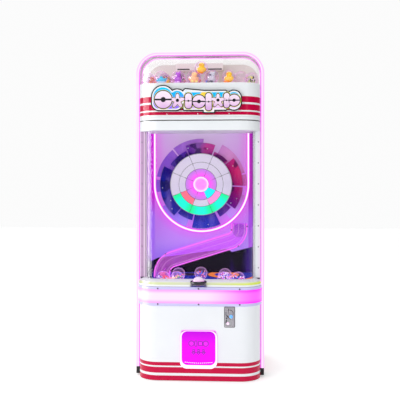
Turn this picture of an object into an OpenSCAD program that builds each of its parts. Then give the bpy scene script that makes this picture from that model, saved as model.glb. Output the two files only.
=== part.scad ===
// Capsule toy vendor: a free-standing arcade cabinet with a clear capsule bin on top, a glazed
// game window with a round light board, a lit arch, a coin acceptor and a prize flap.
// Millimetres. +Z up, front towards -Y. Origin on the floor, at the centre of the overall box.

/* [Cabinet] */
// Width of the body between its side faces
body_w = 750; // [700:5:800]
// Depth of the body from front face to rear sheet
body_d = 745; // [700:5:800]
// Plan radius of the two front corners
corner_r = 128; // [110:1:140]
// Thickness of the shells
sheet_t = 3; // [2:0.5:4]
// Reach of the start button in front of the body
button_reach = 67; // [62:1:75]
// Reach of the rear handles behind the body
handle_reach = 28; // [24:1:34]

/* [Levels] */
// Lower edge of the shell above the floor
shell_z = 5; // [4:1:12]
// Underside of the light band
band_z = 458; // [440:1:470]
// Underside of the console rim
rim_z = 573; // [560:1:580]
// Lower edge of the window glass
glass_z = 616; // [610:1:625]
// Underside of the cornice band
cornice_z = 1521; // [1500:1:1540]
// Underside of the dark groove seal
groove_z = 1579; // [1570:1:1580]
// Underside of the header
header_z = 1585; // [1584:1:1590]
// Top of the header and foot of the clear dome
header_top = 1805; // [1800:1:1815]
// Top of the clear dome
dome_top = 1990; // [1980:1:1991]

/* [Arch] */
// Overall width of the lit arch
arch_w = 800; // [790:1:810]
// Overall height of the lit arch
arch_h = 2018; // [2010:1:2030]
// Width of the arch seen from the front
arch_t = 24; // [20:1:24]
// Depth of the arch, tube to tube
arch_d = 110; // [90:5:130]
// Outer corner radius of the arch
arch_r = 135; // [130:1:140]
// Depth of each neon tube
tube_d = 8; // [6:1:10]
// Lower end of the arch legs
leg_z = 55; // [45:1:60]

/* [Game board] */
// Setback of the glass from the body's front
glass_in = 32; // [28:1:36]
// Depth of the back panel behind the front face
panel_depth = 300; // [280:5:320]
// Height of the light board's centre
board_z = 1193; // [1180:1:1200]
// Radius of the light board
board_r = 198; // [190:1:200]
// Radius of the U-shaped neon
neon_r = 303; // [300:1:306]

/* [Capsules] */
// Diameter of a capsule
capsule_d = 85; // [80:1:86]

/* [Prize door] */
// Width of the door bezel
bezel_w = 224; // [220:1:230]
// Width and height of the prize flap
flap_w = 203; // [198:1:204]

/* [Hidden] */
$fn = 96;

eps = 0.01;
half_w = body_w / 2;
depth_total = button_reach + body_d + handle_reach;
front_y = -depth_total / 2 + button_reach;
back_y = front_y + body_d;
side_x = half_w - corner_r;
turn_y = front_y + corner_r;
panel_y = front_y + panel_depth;
arch_in = arch_w / 2 - arch_t;
arch_y0 = turn_y;
arch_y1 = turn_y + arch_d;
fit = 0.06;
cap_r = capsule_d / 2;

// Colours
c_white = [0.90, 0.92, 0.94];
c_crimson = [0.84, 0.02, 0.32];
c_neon = [1.0, 0.55, 1.0];
c_magenta = [1.0, 0.05, 0.95];
c_clear = [0.85, 0.92, 1.0, 0.25];
c_black = [0.06, 0.06, 0.07];
c_steel = [0.62, 0.62, 0.65];
c_lilac = [0.78, 0.66, 0.88];

// ---------- shared shapes ----------

// Sweeps a section round the front: X of the section is the distance outwards from the corner
// centres, Y is the height. It runs back along both sides to side_end.
module wrap(side_end = turn_y) {
    for (s = [0, 1]) mirror([s, 0, 0]) {
        translate([side_x, turn_y, 0]) rotate_extrude(angle = 90, start = 270) children();
        if (side_end > turn_y)
            translate([side_x, side_end, 0]) rotate([90, 0, 0])
                linear_extrude(side_end - turn_y) children();
    }
    translate([side_x, turn_y, 0]) rotate([0, 0, -90]) rotate([90, 0, 0])
        linear_extrude(2 * side_x) children();
}

// Section of a wrapped sheet between two outward offsets and two heights
module sheet(u0, u1, z0, z1) translate([corner_r + u0, z0]) square([u1 - u0, z1 - z0]);

// Plan area of the front of the body, inset all round, back to the line y1
module plan(inset, y1) {
    r = corner_r - inset;
    translate([-half_w + inset, turn_y]) square([body_w - 2 * inset, y1 - turn_y]);
    translate([-side_x, front_y + inset]) square([2 * side_x, r]);
    for (s = [-1, 1]) translate([s * side_x, turn_y]) circle(r);
}

// Flat plate with the plan outline
module floor_plate(inset, y1, z, t) translate([0, 0, z]) linear_extrude(t) plan(inset, y1);

// Rounded rectangle centred on the origin
module rounded(w, h, r) {
    square([w - 2 * r, h], center = true);
    square([w, h - 2 * r], center = true);
    for (x = [-1, 1], y = [-1, 1]) translate([x * (w / 2 - r), y * (h / 2 - r)]) circle(r);
}

// Stands a flat XY outline up as XZ and extrudes it from y0 to y1
module upright(y0, y1) translate([0, y1, 0]) rotate([90, 0, 0]) linear_extrude(y1 - y0) children();

// Block between two corners
module block(a, b) translate(a) cube(b - a);

// Cylinder along Y between y0 and y1
module rod_y(x, z, r, y0, y1) translate([x, y1, z]) rotate([90, 0, 0]) cylinder(h = y1 - y0, r = r);

// Cylinder along X between x0 and x1
module rod_x(y, z, r, x0, x1) translate([x0, y, z]) rotate([0, 90, 0]) cylinder(h = x1 - x0, r = r);

// ---------- base and shells ----------

foot_x = 300;
foot_y = [front_y + 110, back_y - 70];
board_lo = 22;
board_hi = 34;

module levelling_feet() color(c_black) for (x = [-foot_x, foot_x], y = foot_y) translate([x, y, 0]) {
    cylinder(h = 10, r = 24);
    translate([0, 0, 10 - eps]) cylinder(h = 4, r = 12);
    cylinder(h = board_hi, r = 6);
}

module base_board() color(c_steel) difference() {
    floor_plate(sheet_t, back_y - sheet_t, board_lo, board_hi - board_lo);
    for (x = [-foot_x, foot_x], y = foot_y) translate([x, y, 0]) cylinder(h = 60, r = 6);
}

door_x = 0;
bezel_lo = 82;
bezel_hi = 310;
flap_lo = 103;
flap_hi = flap_lo + flap_w;
open_w = flap_w + 5;
open_lo = 100;
open_hi = 309;
open_z = (open_lo + open_hi) / 2;
open_h = open_hi - open_lo;
coin_x = 187;
coin_w = 65;
coin_h = 127;
coin_lo = band_z - coin_h;
coin_mid = coin_lo + coin_h / 2;

module lower_shell() color(c_white) difference() {
    wrap(back_y - sheet_t) sheet(-sheet_t, 0, shell_z, band_z);
    translate([door_x, 0, open_z]) upright(front_y - 1, front_y + 9) rounded(open_w + 6, open_h + 6, 12);
    block([coin_x - 27, front_y - 1, coin_lo + 6], [coin_x + 27, front_y + 9, band_z - 6]);
}

stripe_t = 0.5;
base_bands = [[5, 35], [51, 86], [95, 116]];
header_bands = [[1614, 1633], [1642, 1678], [1690, 1726]];

// Printed bands stuck round a shell
module bands(list)
    for (b = list) wrap(back_y - sheet_t) sheet(0, stripe_t, b[0], b[1]);

module crimson_stripes() color(c_crimson) difference() {
    bands(concat(base_bands, header_bands));
    translate([door_x, 0, (bezel_lo + bezel_hi) / 2])
        upright(front_y - 2, front_y + 2) rounded(bezel_w + 1, bezel_hi - bezel_lo + 1, 42);
}

// ---------- rear ----------

door_lo = 130;
door_hi = 930;
door_half = 250;
door_lap = 10;
door_t = 3;
hinge_x = -door_half - door_lap - 8;
hinge_y = back_y + 6;
knuckle_r = 5;
pin_r = 2.5;
knuckle_h = 40;
hinge_levels = [220, 820];
lock_x = 225;
lock_z = 530;
lock_r = 9;
inlet_x = -310;
inlet_z = 80;
vent_w = 120;
vent_h = 6;

// Rows of ventilation slots
module vents(x, z, rows) for (i = [0 : rows - 1])
    translate([x, 0, z + i * 3 * vent_h]) upright(back_y - 20, back_y + 20) rounded(vent_w, vent_h, vent_h / 2 - eps);

module rear_frame() color(c_white) {
    difference() {
        block([-half_w, back_y - sheet_t, shell_z], [half_w, back_y, header_top]);
        block([-door_half, back_y - 10, door_lo], [door_half, back_y + 10, door_hi]);
        vents(0, 1620, 6);
        block([inlet_x - 24, back_y - 10, inlet_z - 24], [inlet_x + 24, back_y + 10, inlet_z + 24]);
    }
    for (z = hinge_levels) for (dz = [-knuckle_h, knuckle_h]) translate([0, 0, z + dz]) hinge_ear(-8, 0);
}

// One hinge knuckle with its leaf from x0 to x1 beside the pin
module hinge_ear(x0, x1) difference() {
    union() {
        translate([hinge_x, hinge_y, -knuckle_h / 2 + 0.5]) cylinder(h = knuckle_h - 1, r = knuckle_r);
        block([hinge_x + x0, back_y, -knuckle_h / 2 + 0.5], [hinge_x + x1, hinge_y, knuckle_h / 2 - 0.5]);
    }
    translate([hinge_x, hinge_y, -knuckle_h]) cylinder(h = 2 * knuckle_h, r = pin_r + fit);
}

module rear_door() color(c_white) {
    difference() {
        union() {
            block([-door_half - door_lap, back_y + 0.5, door_lo - door_lap],
                [door_half + door_lap, back_y + 0.5 + door_t, door_hi + door_lap]);
            for (z = hinge_levels) translate([hinge_x, hinge_y, z - knuckle_h / 2 + 0.5])
                cylinder(h = knuckle_h - 1, r = knuckle_r);
            for (z = hinge_levels) block([hinge_x, back_y + 1.5, z - knuckle_h / 2 + 0.5],
                [-door_half - door_lap + 1, back_y + 0.5 + door_t, z + knuckle_h / 2 - 0.5]);
        }
        for (z = hinge_levels) translate([hinge_x, hinge_y, z - knuckle_h])
            cylinder(h = 2 * knuckle_h, r = pin_r + fit);
        vents(0, 180, 5);
        rod_y(lock_x, lock_z, lock_r, back_y - 10, back_y + 10);
    }
}

lock_back = back_y - sheet_t - 2;
module lock_barrel() color(c_steel) difference() {
    union() {
        rod_y(lock_x, lock_z, lock_r, lock_back, back_y + 0.5 + door_t);
        rod_y(lock_x, lock_z, lock_r + 3, back_y + 0.5 + door_t, back_y + 6);
    }
    rod_y(lock_x, lock_z, 6 + fit, lock_back - 1, back_y + 7);
}

module lock_cam() color(c_steel) {
    difference() {
        rod_y(lock_x, lock_z, 6, lock_back - 4, back_y + 7);
        block([lock_x - 1, back_y + 3, lock_z - 4], [lock_x + 1, back_y + 8, lock_z + 4]);
    }
    difference() {
        block([lock_x - 7, lock_back - 4, lock_z - 38], [lock_x + 7, lock_back - 1, lock_z + 7]);
        rod_y(lock_x, lock_z, 5.9, lock_back - 9, back_y);
    }
}

handle_z = 1180;
module rear_handles() color(c_black) for (x = [-250, 250]) difference() {
    translate([x, 0, handle_z]) rotate([0, 90, 0]) translate([0, 0, -10]) linear_extrude(20)
        translate([-70, back_y]) square([140, handle_reach]);
    block([x - 11, back_y - 1, handle_z - 55], [x + 11, back_y + handle_reach - 12, handle_z + 55]);
}

module side_panels() color(c_white) for (s = [0, 1]) mirror([s, 0, 0])
    block([half_w - sheet_t, arch_y0, band_z], [half_w, back_y - sheet_t, cornice_z]);

// ---------- arch ----------

// Outline of the arch seen from the front, inset by a distance, with its legs down to foot
module arch_area(inset, foot) {
    r = arch_r - inset;
    w = arch_w - 2 * inset;
    top = arch_h - arch_r;
    translate([-w / 2, foot]) square([w, top - foot]);
    translate([-w / 2 + r, foot]) square([w - 2 * r, top + r - foot]);
    for (s = [-1, 1]) translate([s * (w / 2 - r), top]) circle(r);
}

// Hoop between two insets and two depths
module hoop(in0, in1, y0, y1) upright(y0, y1) difference() {
    arch_area(in0, leg_z);
    arch_area(in1, leg_z - 10);
}

module arch_shell() color(c_white) hoop(0, arch_t, arch_y0 + tube_d, arch_y1 - tube_d);
module arch_neon() color(c_neon) for (y = [arch_y0, arch_y1 - tube_d]) hoop(1, arch_t - 1, y, y + tube_d);

module arch_feet() color(c_black) for (s = [0, 1]) mirror([s, 0, 0])
    block([half_w + stripe_t, arch_y0 + 1, 12], [arch_w / 2 - 2, arch_y1 - 1, leg_z]);

// ---------- light band and console ----------

band_out = 9;
flange = 17;
screw_x = 248;
screw_levels = [band_z + flange / 2 + 3, rim_z - flange / 2 - 3];

module band_housing() color(c_white) {
    wrap() sheet(-sheet_t, 1, band_z, rim_z);
    wrap() sheet(1, band_out - 1, band_z, band_z + flange);
    wrap() sheet(1, band_out - 1, rim_z - flange, rim_z);
}

module band_diffuser() color(c_neon) wrap() sheet(1, band_out + 1, band_z + flange, rim_z - flange);

post_pitch = 130;
post_screw_x = half_w - 12;

module panel_screws() color(c_steel) {
    for (x = [-screw_x, 0, screw_x], z = screw_levels)
        rod_y(x, z, 5, front_y - band_out - 1, front_y - band_out + 1);
    for (s = [-1, 1], i = [0 : 6])
        rod_y(s * post_screw_x, glass_z + 60 + i * post_pitch, 3.5, turn_y - 1.5, turn_y);
}

button_y = front_y - button_reach + 50;
bezel_r = 50;
bezel_z = 584;
bezel_top = 612;
bowl_floor = 7;
dome_sink = 14;
dome_r = 37.5;

module console_rim() color(c_white) difference() {
    wrap() translate([corner_r, rim_z]) polygon([[-glass_in - 12, 2], [7, 2], [7, 12], [1, 30],
        [-glass_in + 2, glass_z - rim_z], [-glass_in - 12, glass_z - rim_z]]);
    wrap() translate([corner_r, rim_z]) polygon([[8, 13], [8, 29], [-1, 29], [-1, 13]]);
    translate([0, button_y, bezel_z - 10]) cylinder(h = 60, r = bezel_r + 1);
}

module rim_inlay() color([0.84, 0.92, 0.45]) difference() {
    wrap() translate([corner_r, rim_z]) polygon([[-1, 13], [6, 13], [1, 29], [-1, 29]]);
    translate([0, button_y, bezel_z - 10]) cylinder(h = 60, r = bezel_r + 1);
}

module button_bezel() color(c_black) translate([0, button_y, bezel_z]) difference() {
    rotate_extrude() polygon([[0, 0], [26, 0], [44, 8], [bezel_r, 19], [bezel_r, 25], [bezel_r - 3, 28],
        [dome_r + 4, 28], [dome_r + 1.5, 26], [0, 26]]);
    translate([0, 0, bowl_floor]) cylinder(h = 40, r = dome_r + 1.5);
}

module button_dome() color([1, 0.7, 1]) translate([0, button_y, bezel_top - dome_sink]) {
    intersection() {
        translate([0, 0, 3]) sphere(r = dome_r);
        translate([0, 0, 3]) cylinder(h = 60, r = dome_r + 1);
    }
    cylinder(h = 3, r = dome_r);
    translate([0, 0, -2]) cylinder(h = 2, r = 12);
}

// ---------- coin side ----------

plate_y = front_y - 2.5;
slot_x = coin_x - 8;
slot_z = coin_lo + 98;
reject_x = coin_x + 9;
reject_z = coin_lo + 66;
reject_r = 10;
cup_x = coin_x - 6;
cup_lo = coin_lo + 12;
cup_w = 36;
cup_h = 32;
cup_pin_y = front_y + 3;
cup_pin_z = cup_lo + cup_h - 3;

module coin_plate() color(c_steel) {
    difference() {
        union() {
            translate([coin_x, 0, coin_mid]) upright(plate_y, front_y) rounded(coin_w, coin_h - 1, 4);
            translate([slot_x, 0, slot_z]) upright(plate_y - 5, plate_y + eps) rounded(20, 40, 9);
            rod_y(reject_x, reject_z, reject_r + 4, plate_y - 3, plate_y + eps);
        }
        translate([slot_x, 0, slot_z]) upright(plate_y - 9, front_y + 9) square([4, 30], center = true);
        rod_y(reject_x, reject_z, reject_r + 0.5, plate_y - 9, front_y + 9);
        translate([cup_x, 0, cup_lo + cup_h / 2]) upright(plate_y - 9, front_y + 9) square([cup_w, cup_h], center = true);
    }
    for (x = [-26, 26], z = [-56, 56]) rod_y(coin_x + x, coin_mid + z, 3, plate_y - 1.5, plate_y + eps);
}

module coin_reject_button() color([0.25, 0.6, 1.0]) {
    rod_y(reject_x, reject_z, reject_r, plate_y - 9, plate_y + 1);
    rod_y(reject_x, reject_z, 4, plate_y + 1, front_y + 8);
}

module coin_return_flap() color(c_steel) {
    block([cup_x - cup_w / 2 + 0.6, plate_y + 0.5, cup_lo + 0.6], [cup_x + cup_w / 2 - 0.6, plate_y + 2.1, cup_pin_z]);
    difference() {
        union() {
            rod_x(cup_pin_y, cup_pin_z, 2.5, cup_x - cup_w / 2 + 0.6, cup_x + cup_w / 2 - 0.6);
            block([cup_x - cup_w / 2 + 0.6, plate_y + 0.5, cup_pin_z - 2], [cup_x + cup_w / 2 - 0.6, cup_pin_y, cup_pin_z + 2]);
        }
        rod_x(cup_pin_y, cup_pin_z, 1 + fit, cup_x - cup_w, cup_x + cup_w);
    }
}

mech_w = 50;
mech_d = 80;
module coin_mechanism() color(c_black) {
    difference() {
        block([coin_x - mech_w / 2, front_y, coin_lo + 8], [coin_x + mech_w / 2, front_y + mech_d, band_z - 8]);
        translate([slot_x, 0, slot_z]) upright(front_y - 1, front_y + 60) square([5, 32], center = true);
        rod_y(reject_x, reject_z, 6, front_y - 1, front_y + 20);
        rod_y(reject_x, reject_z, reject_r + 0.5, front_y - 1, front_y + 4);
        block([cup_x - cup_w / 2, front_y - 1, cup_lo], [cup_x + cup_w / 2, front_y + 45, cup_lo + cup_h + 1]);
    }
    rod_x(cup_pin_y, cup_pin_z, 1, cup_x - cup_w / 2 - 1, cup_x + cup_w / 2 + 1);
}

// ---------- prize door ----------

bezel_y = front_y - 12;
sleeve_y = front_y + 20;
flap_y = front_y - 8;
flap_t = 6;
pin_y = front_y + 8;
pin_z = flap_hi - 6;
flap_pin_r = 3;
barrel_r = 6;

module door_bezel() color([1, 0.97, 1]) difference() {
    union() {
        translate([door_x, 0, (bezel_lo + bezel_hi) / 2])
            upright(bezel_y, front_y) rounded(bezel_w, bezel_hi - bezel_lo, 41);
        translate([door_x, 0, open_z]) upright(front_y - eps, sleeve_y) rounded(open_w + 6, open_h + 6, 12);
    }
    translate([door_x, 0, open_z]) upright(front_y - 6, sleeve_y + 1) rounded(open_w, open_h, 10);
    translate([door_x, 0, flap_lo + flap_w / 2]) upright(bezel_y - 1, front_y) rounded(flap_w + 3, flap_w + 3, 36);
    rod_x(pin_y, pin_z, flap_pin_r, -open_w / 2 - 4, open_w / 2 + 4);
}

module prize_flap() color(c_magenta) difference() {
    union() {
        translate([door_x, 0, flap_lo + flap_w / 2]) upright(flap_y, flap_y + flap_t) rounded(flap_w, flap_w, 34.5);
        rod_x(pin_y, pin_z, barrel_r, -60, 60);
        block([-60, flap_y + flap_t - eps, pin_z - 6], [60, pin_y, pin_z + 5]);
    }
    rod_x(pin_y, pin_z, flap_pin_r + fit, -100, 100);
}

module hinge_pins() color(c_steel) {
    rod_x(pin_y, pin_z, flap_pin_r, -open_w / 2 - 3, open_w / 2 + 3);
    for (z = hinge_levels) translate([hinge_x, hinge_y, z - 1.5 * knuckle_h])
        cylinder(h = 3 * knuckle_h, r = pin_r);
}

box_y1 = front_y + 230;
box_x0 = -300;
box_x1 = 108;
box_lo = 70;
box_hi = 330;
duct_x = -247;
duct_y = panel_y - 49;
duct_r = 48;

module prize_box() color([0.55, 0.3, 0.6]) difference() {
    block([box_x0, sleeve_y, box_lo], [box_x1, box_y1, box_hi]);
    difference() {
        block([box_x0 + 3, sleeve_y - 1, box_lo + 3], [box_x1 - 3, box_y1 - 3, box_hi - 3]);
        upright(sleeve_y - 2, box_y1) polygon([[box_x0, 0], [-108, 0], [-108, 100], [box_x0, 190]]);
        block([box_x0, sleeve_y - 2, 0], [-108, sleeve_y + 3, box_hi]);
        block([-108, sleeve_y - 2, 0], [box_x1, sleeve_y + 3, open_lo - 3]);
        block([-108, sleeve_y - 2, open_hi + 3], [box_x1, sleeve_y + 3, box_hi]);
    }
    translate([duct_x, duct_y, box_hi - 9]) cylinder(h = 20, r = duct_r);
}

// ---------- inside the lower cabinet ----------

cash_lo = [130, front_y + 40, board_hi];
cash_hi = [320, front_y + 230, 170];
module cash_box() color(c_steel) difference() {
    block(cash_lo, cash_hi);
    block(cash_lo + [3, 3, 3], cash_hi + [-3, -3, 9]);
}

module control_board() color([0.05, 0.35, 0.15]) {
    block([half_w - sheet_t - 12, 0, 200], [half_w - sheet_t - 9, 180, 420]);
    for (y = [12, 168], z = [212, 408]) rod_x(y, z, 4, half_w - sheet_t - 9 - eps, half_w - sheet_t);
    block([half_w - sheet_t - 26, 50, 260], [half_w - sheet_t - 12, 100, 330]);
    block([half_w - sheet_t - 22, 120, 300], [half_w - sheet_t - 12, 150, 390]);
}

module power_supply() color(c_steel)
    block([-360, 120, board_hi], [-250, 290, board_hi + 50]);

module power_inlet() color(c_black) difference() {
    union() {
        block([inlet_x - 24, back_y - 25, inlet_z - 24], [inlet_x + 24, back_y, inlet_z + 24]);
        block([inlet_x - 30, back_y, inlet_z - 30], [inlet_x + 30, back_y + 3, inlet_z + 30]);
    }
    block([inlet_x - 16, back_y - 20, inlet_z - 20], [inlet_x + 16, back_y + 9, inlet_z - 1]);
    block([inlet_x - 13, back_y - 14, inlet_z + 5], [inlet_x + 13, back_y + 9, inlet_z + 19]);
}

// ---------- game window ----------

glass_t = 5;
liner_x = 330;
cavity_y = front_y + 420;
floor_z = 568;
floor_t = 4;

module window_glass() color(c_clear) wrap() sheet(-glass_in - glass_t, -glass_in, glass_z, cornice_z);

module window_posts() color(c_white) for (s = [0, 1]) mirror([s, 0, 0])
    block([liner_x + 3, turn_y, glass_z], [half_w - sheet_t, turn_y + 12, cornice_z]);

module game_ceiling() color(c_white) difference() {
    floor_plate(0, cavity_y, cornice_z, sheet_t);
    translate([duct_top_x, duct_top_y, cornice_z - 1]) cylinder(h = 9, r = tube_r + 2);
}

duct_top_x = 245;
duct_top_y = panel_y + 53;
tube_r = 50;
tube_t = 3;
entry_z = 895;
entry_r = 44;

// Lower edge of the back panel, left to right
panel_foot = [[-liner_x, 693], [-282, 717], [170, 778], [196, 756], [liner_x, 791]];

module back_panel() color(c_lilac) difference() {
    upright(panel_y, panel_y + sheet_t)
        polygon(concat(panel_foot, [[liner_x, cornice_z], [-liner_x, cornice_z]]));
    rod_y(duct_top_x, entry_z, entry_r, panel_y - 9, panel_y + 9);
}

module inner_walls() color([0.35, 0.2, 0.45]) {
    for (s = [0, 1]) mirror([s, 0, 0])
        block([liner_x, turn_y, floor_z + floor_t], [liner_x + sheet_t, cavity_y, cornice_z]);
    block([-liner_x, cavity_y - sheet_t, floor_z + floor_t], [liner_x, cavity_y, cornice_z]);
}

kerb_y = front_y + 383;
kerb_top = 613;

module play_floor() color([0.15, 0.2, 0.6]) {
    difference() {
        floor_plate(glass_in + 13, cavity_y, floor_z, floor_t);
        translate([duct_x, duct_y, floor_z - 9]) cylinder(h = 40, r = duct_r);
    }
    block([-liner_x, kerb_y, floor_z + floor_t - eps], [liner_x, kerb_y + 3, kerb_top]);
}

// Places of loose capsules as [x, distance behind the front face]
floor_spots = [[-225, 95], [-138, 90], [-146, 277], [-5, 327], [152, 90], [153, 252], [238, 92]];

module play_capsules() color([0.9, 0.8, 1, 0.5])
    for (p = floor_spots) translate([p[0], front_y + p[1], floor_z + floor_t + cap_r]) sphere(r = cap_r);

// U outline: half circle below, legs up to a level
module u_area(r, top) {
    translate([0, board_z]) circle(r);
    translate([-r, board_z]) square([2 * r, top - board_z]);
}

neon_half = 6;
module neon_u() color(c_neon) upright(panel_y - 14, panel_y) difference() {
    u_area(neon_r + neon_half, cornice_z);
    u_area(neon_r - neon_half, cornice_z + 1);
}

// ---------- light board ----------

board_d = 50;
board_face = panel_y - board_d;
ring_r = [49, 100, 142, 196];
sectors = 8;
gap = 1.2;

module board_housing() color(c_black) difference() {
    rod_y(0, board_z, board_r, board_face, panel_y);
    rod_y(0, board_z, board_r - 2, board_face - 1, board_face + 6);
}

// Ring sector standing upright: angles in degrees clockwise from the top, seen from the front
module sector(a0, a1, r0, r1, y0, y1) translate([0, y1, board_z]) rotate([90, 0, 0])
    rotate_extrude(angle = a1 - a0, start = 90 - a1) translate([r0, 0]) square([r1 - r0, y1 - y0]);

module board_tiles() color([0.8, 0.78, 0.85])
    for (ring = [0 : 2], i = [0 : sectors - 1]) {
        a = (i - 0.5) * 360 / sectors;
        slack = 0.4;
        sector(a + slack, a + 360 / sectors - slack, ring_r[ring] + gap, ring_r[ring + 1] - gap,
            board_face + 1 - ring * 0.4 + 0.4, board_face + 6);
    }

module board_lens() color([1, 0.6, 1]) {
    rod_y(0, board_z, ring_r[0] - gap, board_face - 2, board_face + 6);
    rod_y(0, board_z, ring_r[0] - 8, board_face - 4, board_face - 2);
}

// Blades as [from angle, to angle, inner radius, outer radius]
front_blades = [[-22, 20, 199, 268], [-57, -24, 199, 235], [-139, -64, 199, 266], [154, 192, 199, 285],
    [51, 92, 199, 268], [94, 126, 199, 268], [22, 49, 199, 226], [128, 150, 199, 240], [-166, -141, 199, 238]];
rear_blades = [[-38, 3, 199, 294], [-80, -40, 199, 291], [28, 75, 199, 289], [77, 92, 199, 294],
    [-100, -84, 199, 292], [104, 140, 199, 290], [-160, -120, 199, 290]];
blade_t = 3;
blade_y = [board_face + 18, board_face + 34];

module blades_front() color([0.3, 0.1, 0.6, 0.8])
    for (b = front_blades) sector(b[0], b[1], b[2], b[3], blade_y[0], blade_y[0] + blade_t);
module blades_rear() color([0.7, 0.4, 0.8, 0.5])
    for (b = rear_blades) sector(b[0], b[1], b[2], b[3], blade_y[1], blade_y[1] + blade_t);

// ---------- capsule chute ----------

chute_in = 47;
chute_t = 4;
chute_y = panel_y - 99;
bend_1 = 80;
bend_2 = 100;
top_x = 245;
top_z = 945;
turn_z = 910;
end_x = -247;
end_z = 602;
slope = 17.5;
sweep_a = 90 - slope;
// Ends of the straight ramp, reached from each bend
ramp_a = [top_x - bend_1 + bend_1 * cos(sweep_a), turn_z - bend_1 * sin(sweep_a)];
ramp_b_x = end_x + bend_2 - bend_2 * cos(sweep_a);
ramp_b = [ramp_b_x, ramp_a[1] - (ramp_a[0] - ramp_b_x) * tan(slope)];
low_z = ramp_b[1] - bend_2 * sin(sweep_a);
ramp_len = (ramp_a[0] - ramp_b_x) / cos(slope);

// Area between two offsets from the chute's centre line; positive is above the ramp
module chute_area(o0, o1) {
    translate([top_x - o1, turn_z]) square([o1 - o0, top_z - turn_z]);
    translate([top_x - bend_1, turn_z]) ring_part(bend_1 - o1, bend_1 - o0, -sweep_a, sweep_a);
    translate(ramp_b) rotate(slope) translate([0, o0]) square([ramp_len, o1 - o0]);
    translate([end_x + bend_2, low_z]) ring_part(bend_2 + o0, bend_2 + o1, 90 + slope, sweep_a);
    translate([end_x - o1, end_z]) square([o1 - o0, low_z - end_z]);
}

// Flat ring sector from start over turn degrees
module ring_part(r0, r1, start, turn) intersection() {
    difference() { circle(r1); circle(r0); }
    polygon([[0, 0], for (k = [0 : 2]) 4 * r1 * [cos(start + k * turn / 2), sin(start + k * turn / 2)]]);
}

module s_chute() color([0.95, 0.75, 1, 0.4]) {
    difference() {
        upright(panel_y - chute_t, panel_y) chute_area(-chute_in - chute_t, chute_in + chute_t);
        rod_y(duct_top_x, entry_z, entry_r, panel_y - 9, panel_y + 9);
    }
    upright(chute_y, chute_y + chute_t) chute_area(-chute_in - chute_t, chute_in + chute_t);
    for (o = [chute_in, -chute_in - chute_t])
        upright(chute_y + chute_t, panel_y - chute_t) chute_area(o, o + chute_t);
}

module drop_tubes() color([0.85, 0.75, 0.9]) {
    translate([duct_top_x, duct_top_y, 0]) difference() {
        translate([0, 0, entry_z - 60]) cylinder(h = well_z - entry_z + 60, r = tube_r);
        translate([0, 0, entry_z - entry_r - 5]) cylinder(h = 2000, r = tube_r - tube_t);
        rod_y(0, entry_z, entry_r, -tube_r - 9, 0);
    }
    translate([duct_x, duct_y, box_hi]) difference() {
        cylinder(h = floor_z - box_hi, r = duct_r + 3);
        translate([0, 0, -1]) cylinder(h = 400, r = duct_r);
    }
}

// ---------- header and sign ----------

module cornice_band() color(c_white) wrap(back_y - sheet_t) sheet(-sheet_t, 0, cornice_z + sheet_t, groove_z);
module groove_seal() color(c_black) wrap(back_y - sheet_t) sheet(-sheet_t - 3, -sheet_t, groove_z - 4, header_z + 4);
module header_shell() color(c_white) wrap(back_y - sheet_t) sheet(-sheet_t, 0, header_z, header_top);

sign_lo = 1635;
sign_hi = 1762;
sign_x0 = -287;
sign_x1 = 262;
sign_out = 28;
sign_t = 12;

sign_h = sign_hi - sign_lo;
sign_mid = (sign_lo + sign_hi) / 2;

// Cloud-shaped outline of the sign
module sign_area() {
    translate([sign_x0 + 100, sign_mid]) rounded(200, sign_h, 50);
    translate([40, sign_mid]) rounded(272, sign_h, 14);
    translate([sign_x1 - 49, sign_mid]) rounded(98, sign_h, 48);
    translate([sign_x0 + 72, 1722]) circle(72);
    translate([-128, 1716]) circle(56);
    polygon([[-112, 1740], [-83, 1774], [36, sign_hi], [36, 1740]]);
    translate([26, sign_lo - 14]) square([76, 40]);
}

module sign_board() color([0.95, 0.96, 1]) {
    upright(front_y - sign_out, front_y - sign_out + sign_t) sign_area();
    for (x = [-200, 200], z = [1684, 1740]) rod_y(x, z, 5, front_y - sign_out + sign_t, front_y);
}

// ---------- capsule bin ----------

bin_t = 4;
bin_y1 = front_y + 453;
bin_floor = header_top + 4;
rotor_x = 165;
rotor_y = duct_top_y - 60;
rotor_r = 148;
pocket_orbit = 100;
pocket_r = 46;
well_z = 1722;
well_t = 4;
wheel_z = 1735;
wheel_h = 60;
shaft_r = 10;
tooth_m = 2.5;
gear_n = 24;
pinion_n = 12;
gear_z = 1700;
gear_h = 12;
gear_gap = tooth_m * (gear_n + pinion_n) / 2;
pocket_a = atan2(duct_top_y - rotor_y, duct_top_x - rotor_x);

module bin_base() color([0.8, 0.82, 0.85]) {
    difference() {
        floor_plate(0, back_y, header_top, bin_t);
        translate([rotor_x, rotor_y, header_top - 1]) cylinder(h = 9, r = rotor_r + 5);
    }
    difference() {
        translate([rotor_x, rotor_y, well_z]) cylinder(h = header_top - well_z, r = rotor_r + 8);
        translate([rotor_x, rotor_y, well_z + well_t]) cylinder(h = 200, r = rotor_r + 5);
        translate([rotor_x, rotor_y, well_z - 1]) cylinder(h = 9, r = shaft_r + fit);
        translate([duct_top_x, duct_top_y, well_z - 1]) cylinder(h = 9, r = pocket_r);
    }
}

// Spur gear with straight-sided teeth and running backlash; phase turns the teeth
module gear(n, h, phase) {
    r = tooth_m * n / 2;
    linear_extrude(h) {
        circle(r - 1.1 * tooth_m);
        for (i = [0 : n - 1]) rotate(phase + i * 360 / n) polygon([[r - 1.6 * tooth_m, -0.62 * tooth_m],
            [r + 0.8 * tooth_m, -0.25 * tooth_m], [r + 0.8 * tooth_m, 0.25 * tooth_m],
            [r - 1.6 * tooth_m, 0.62 * tooth_m]]);
    }
}

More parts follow.
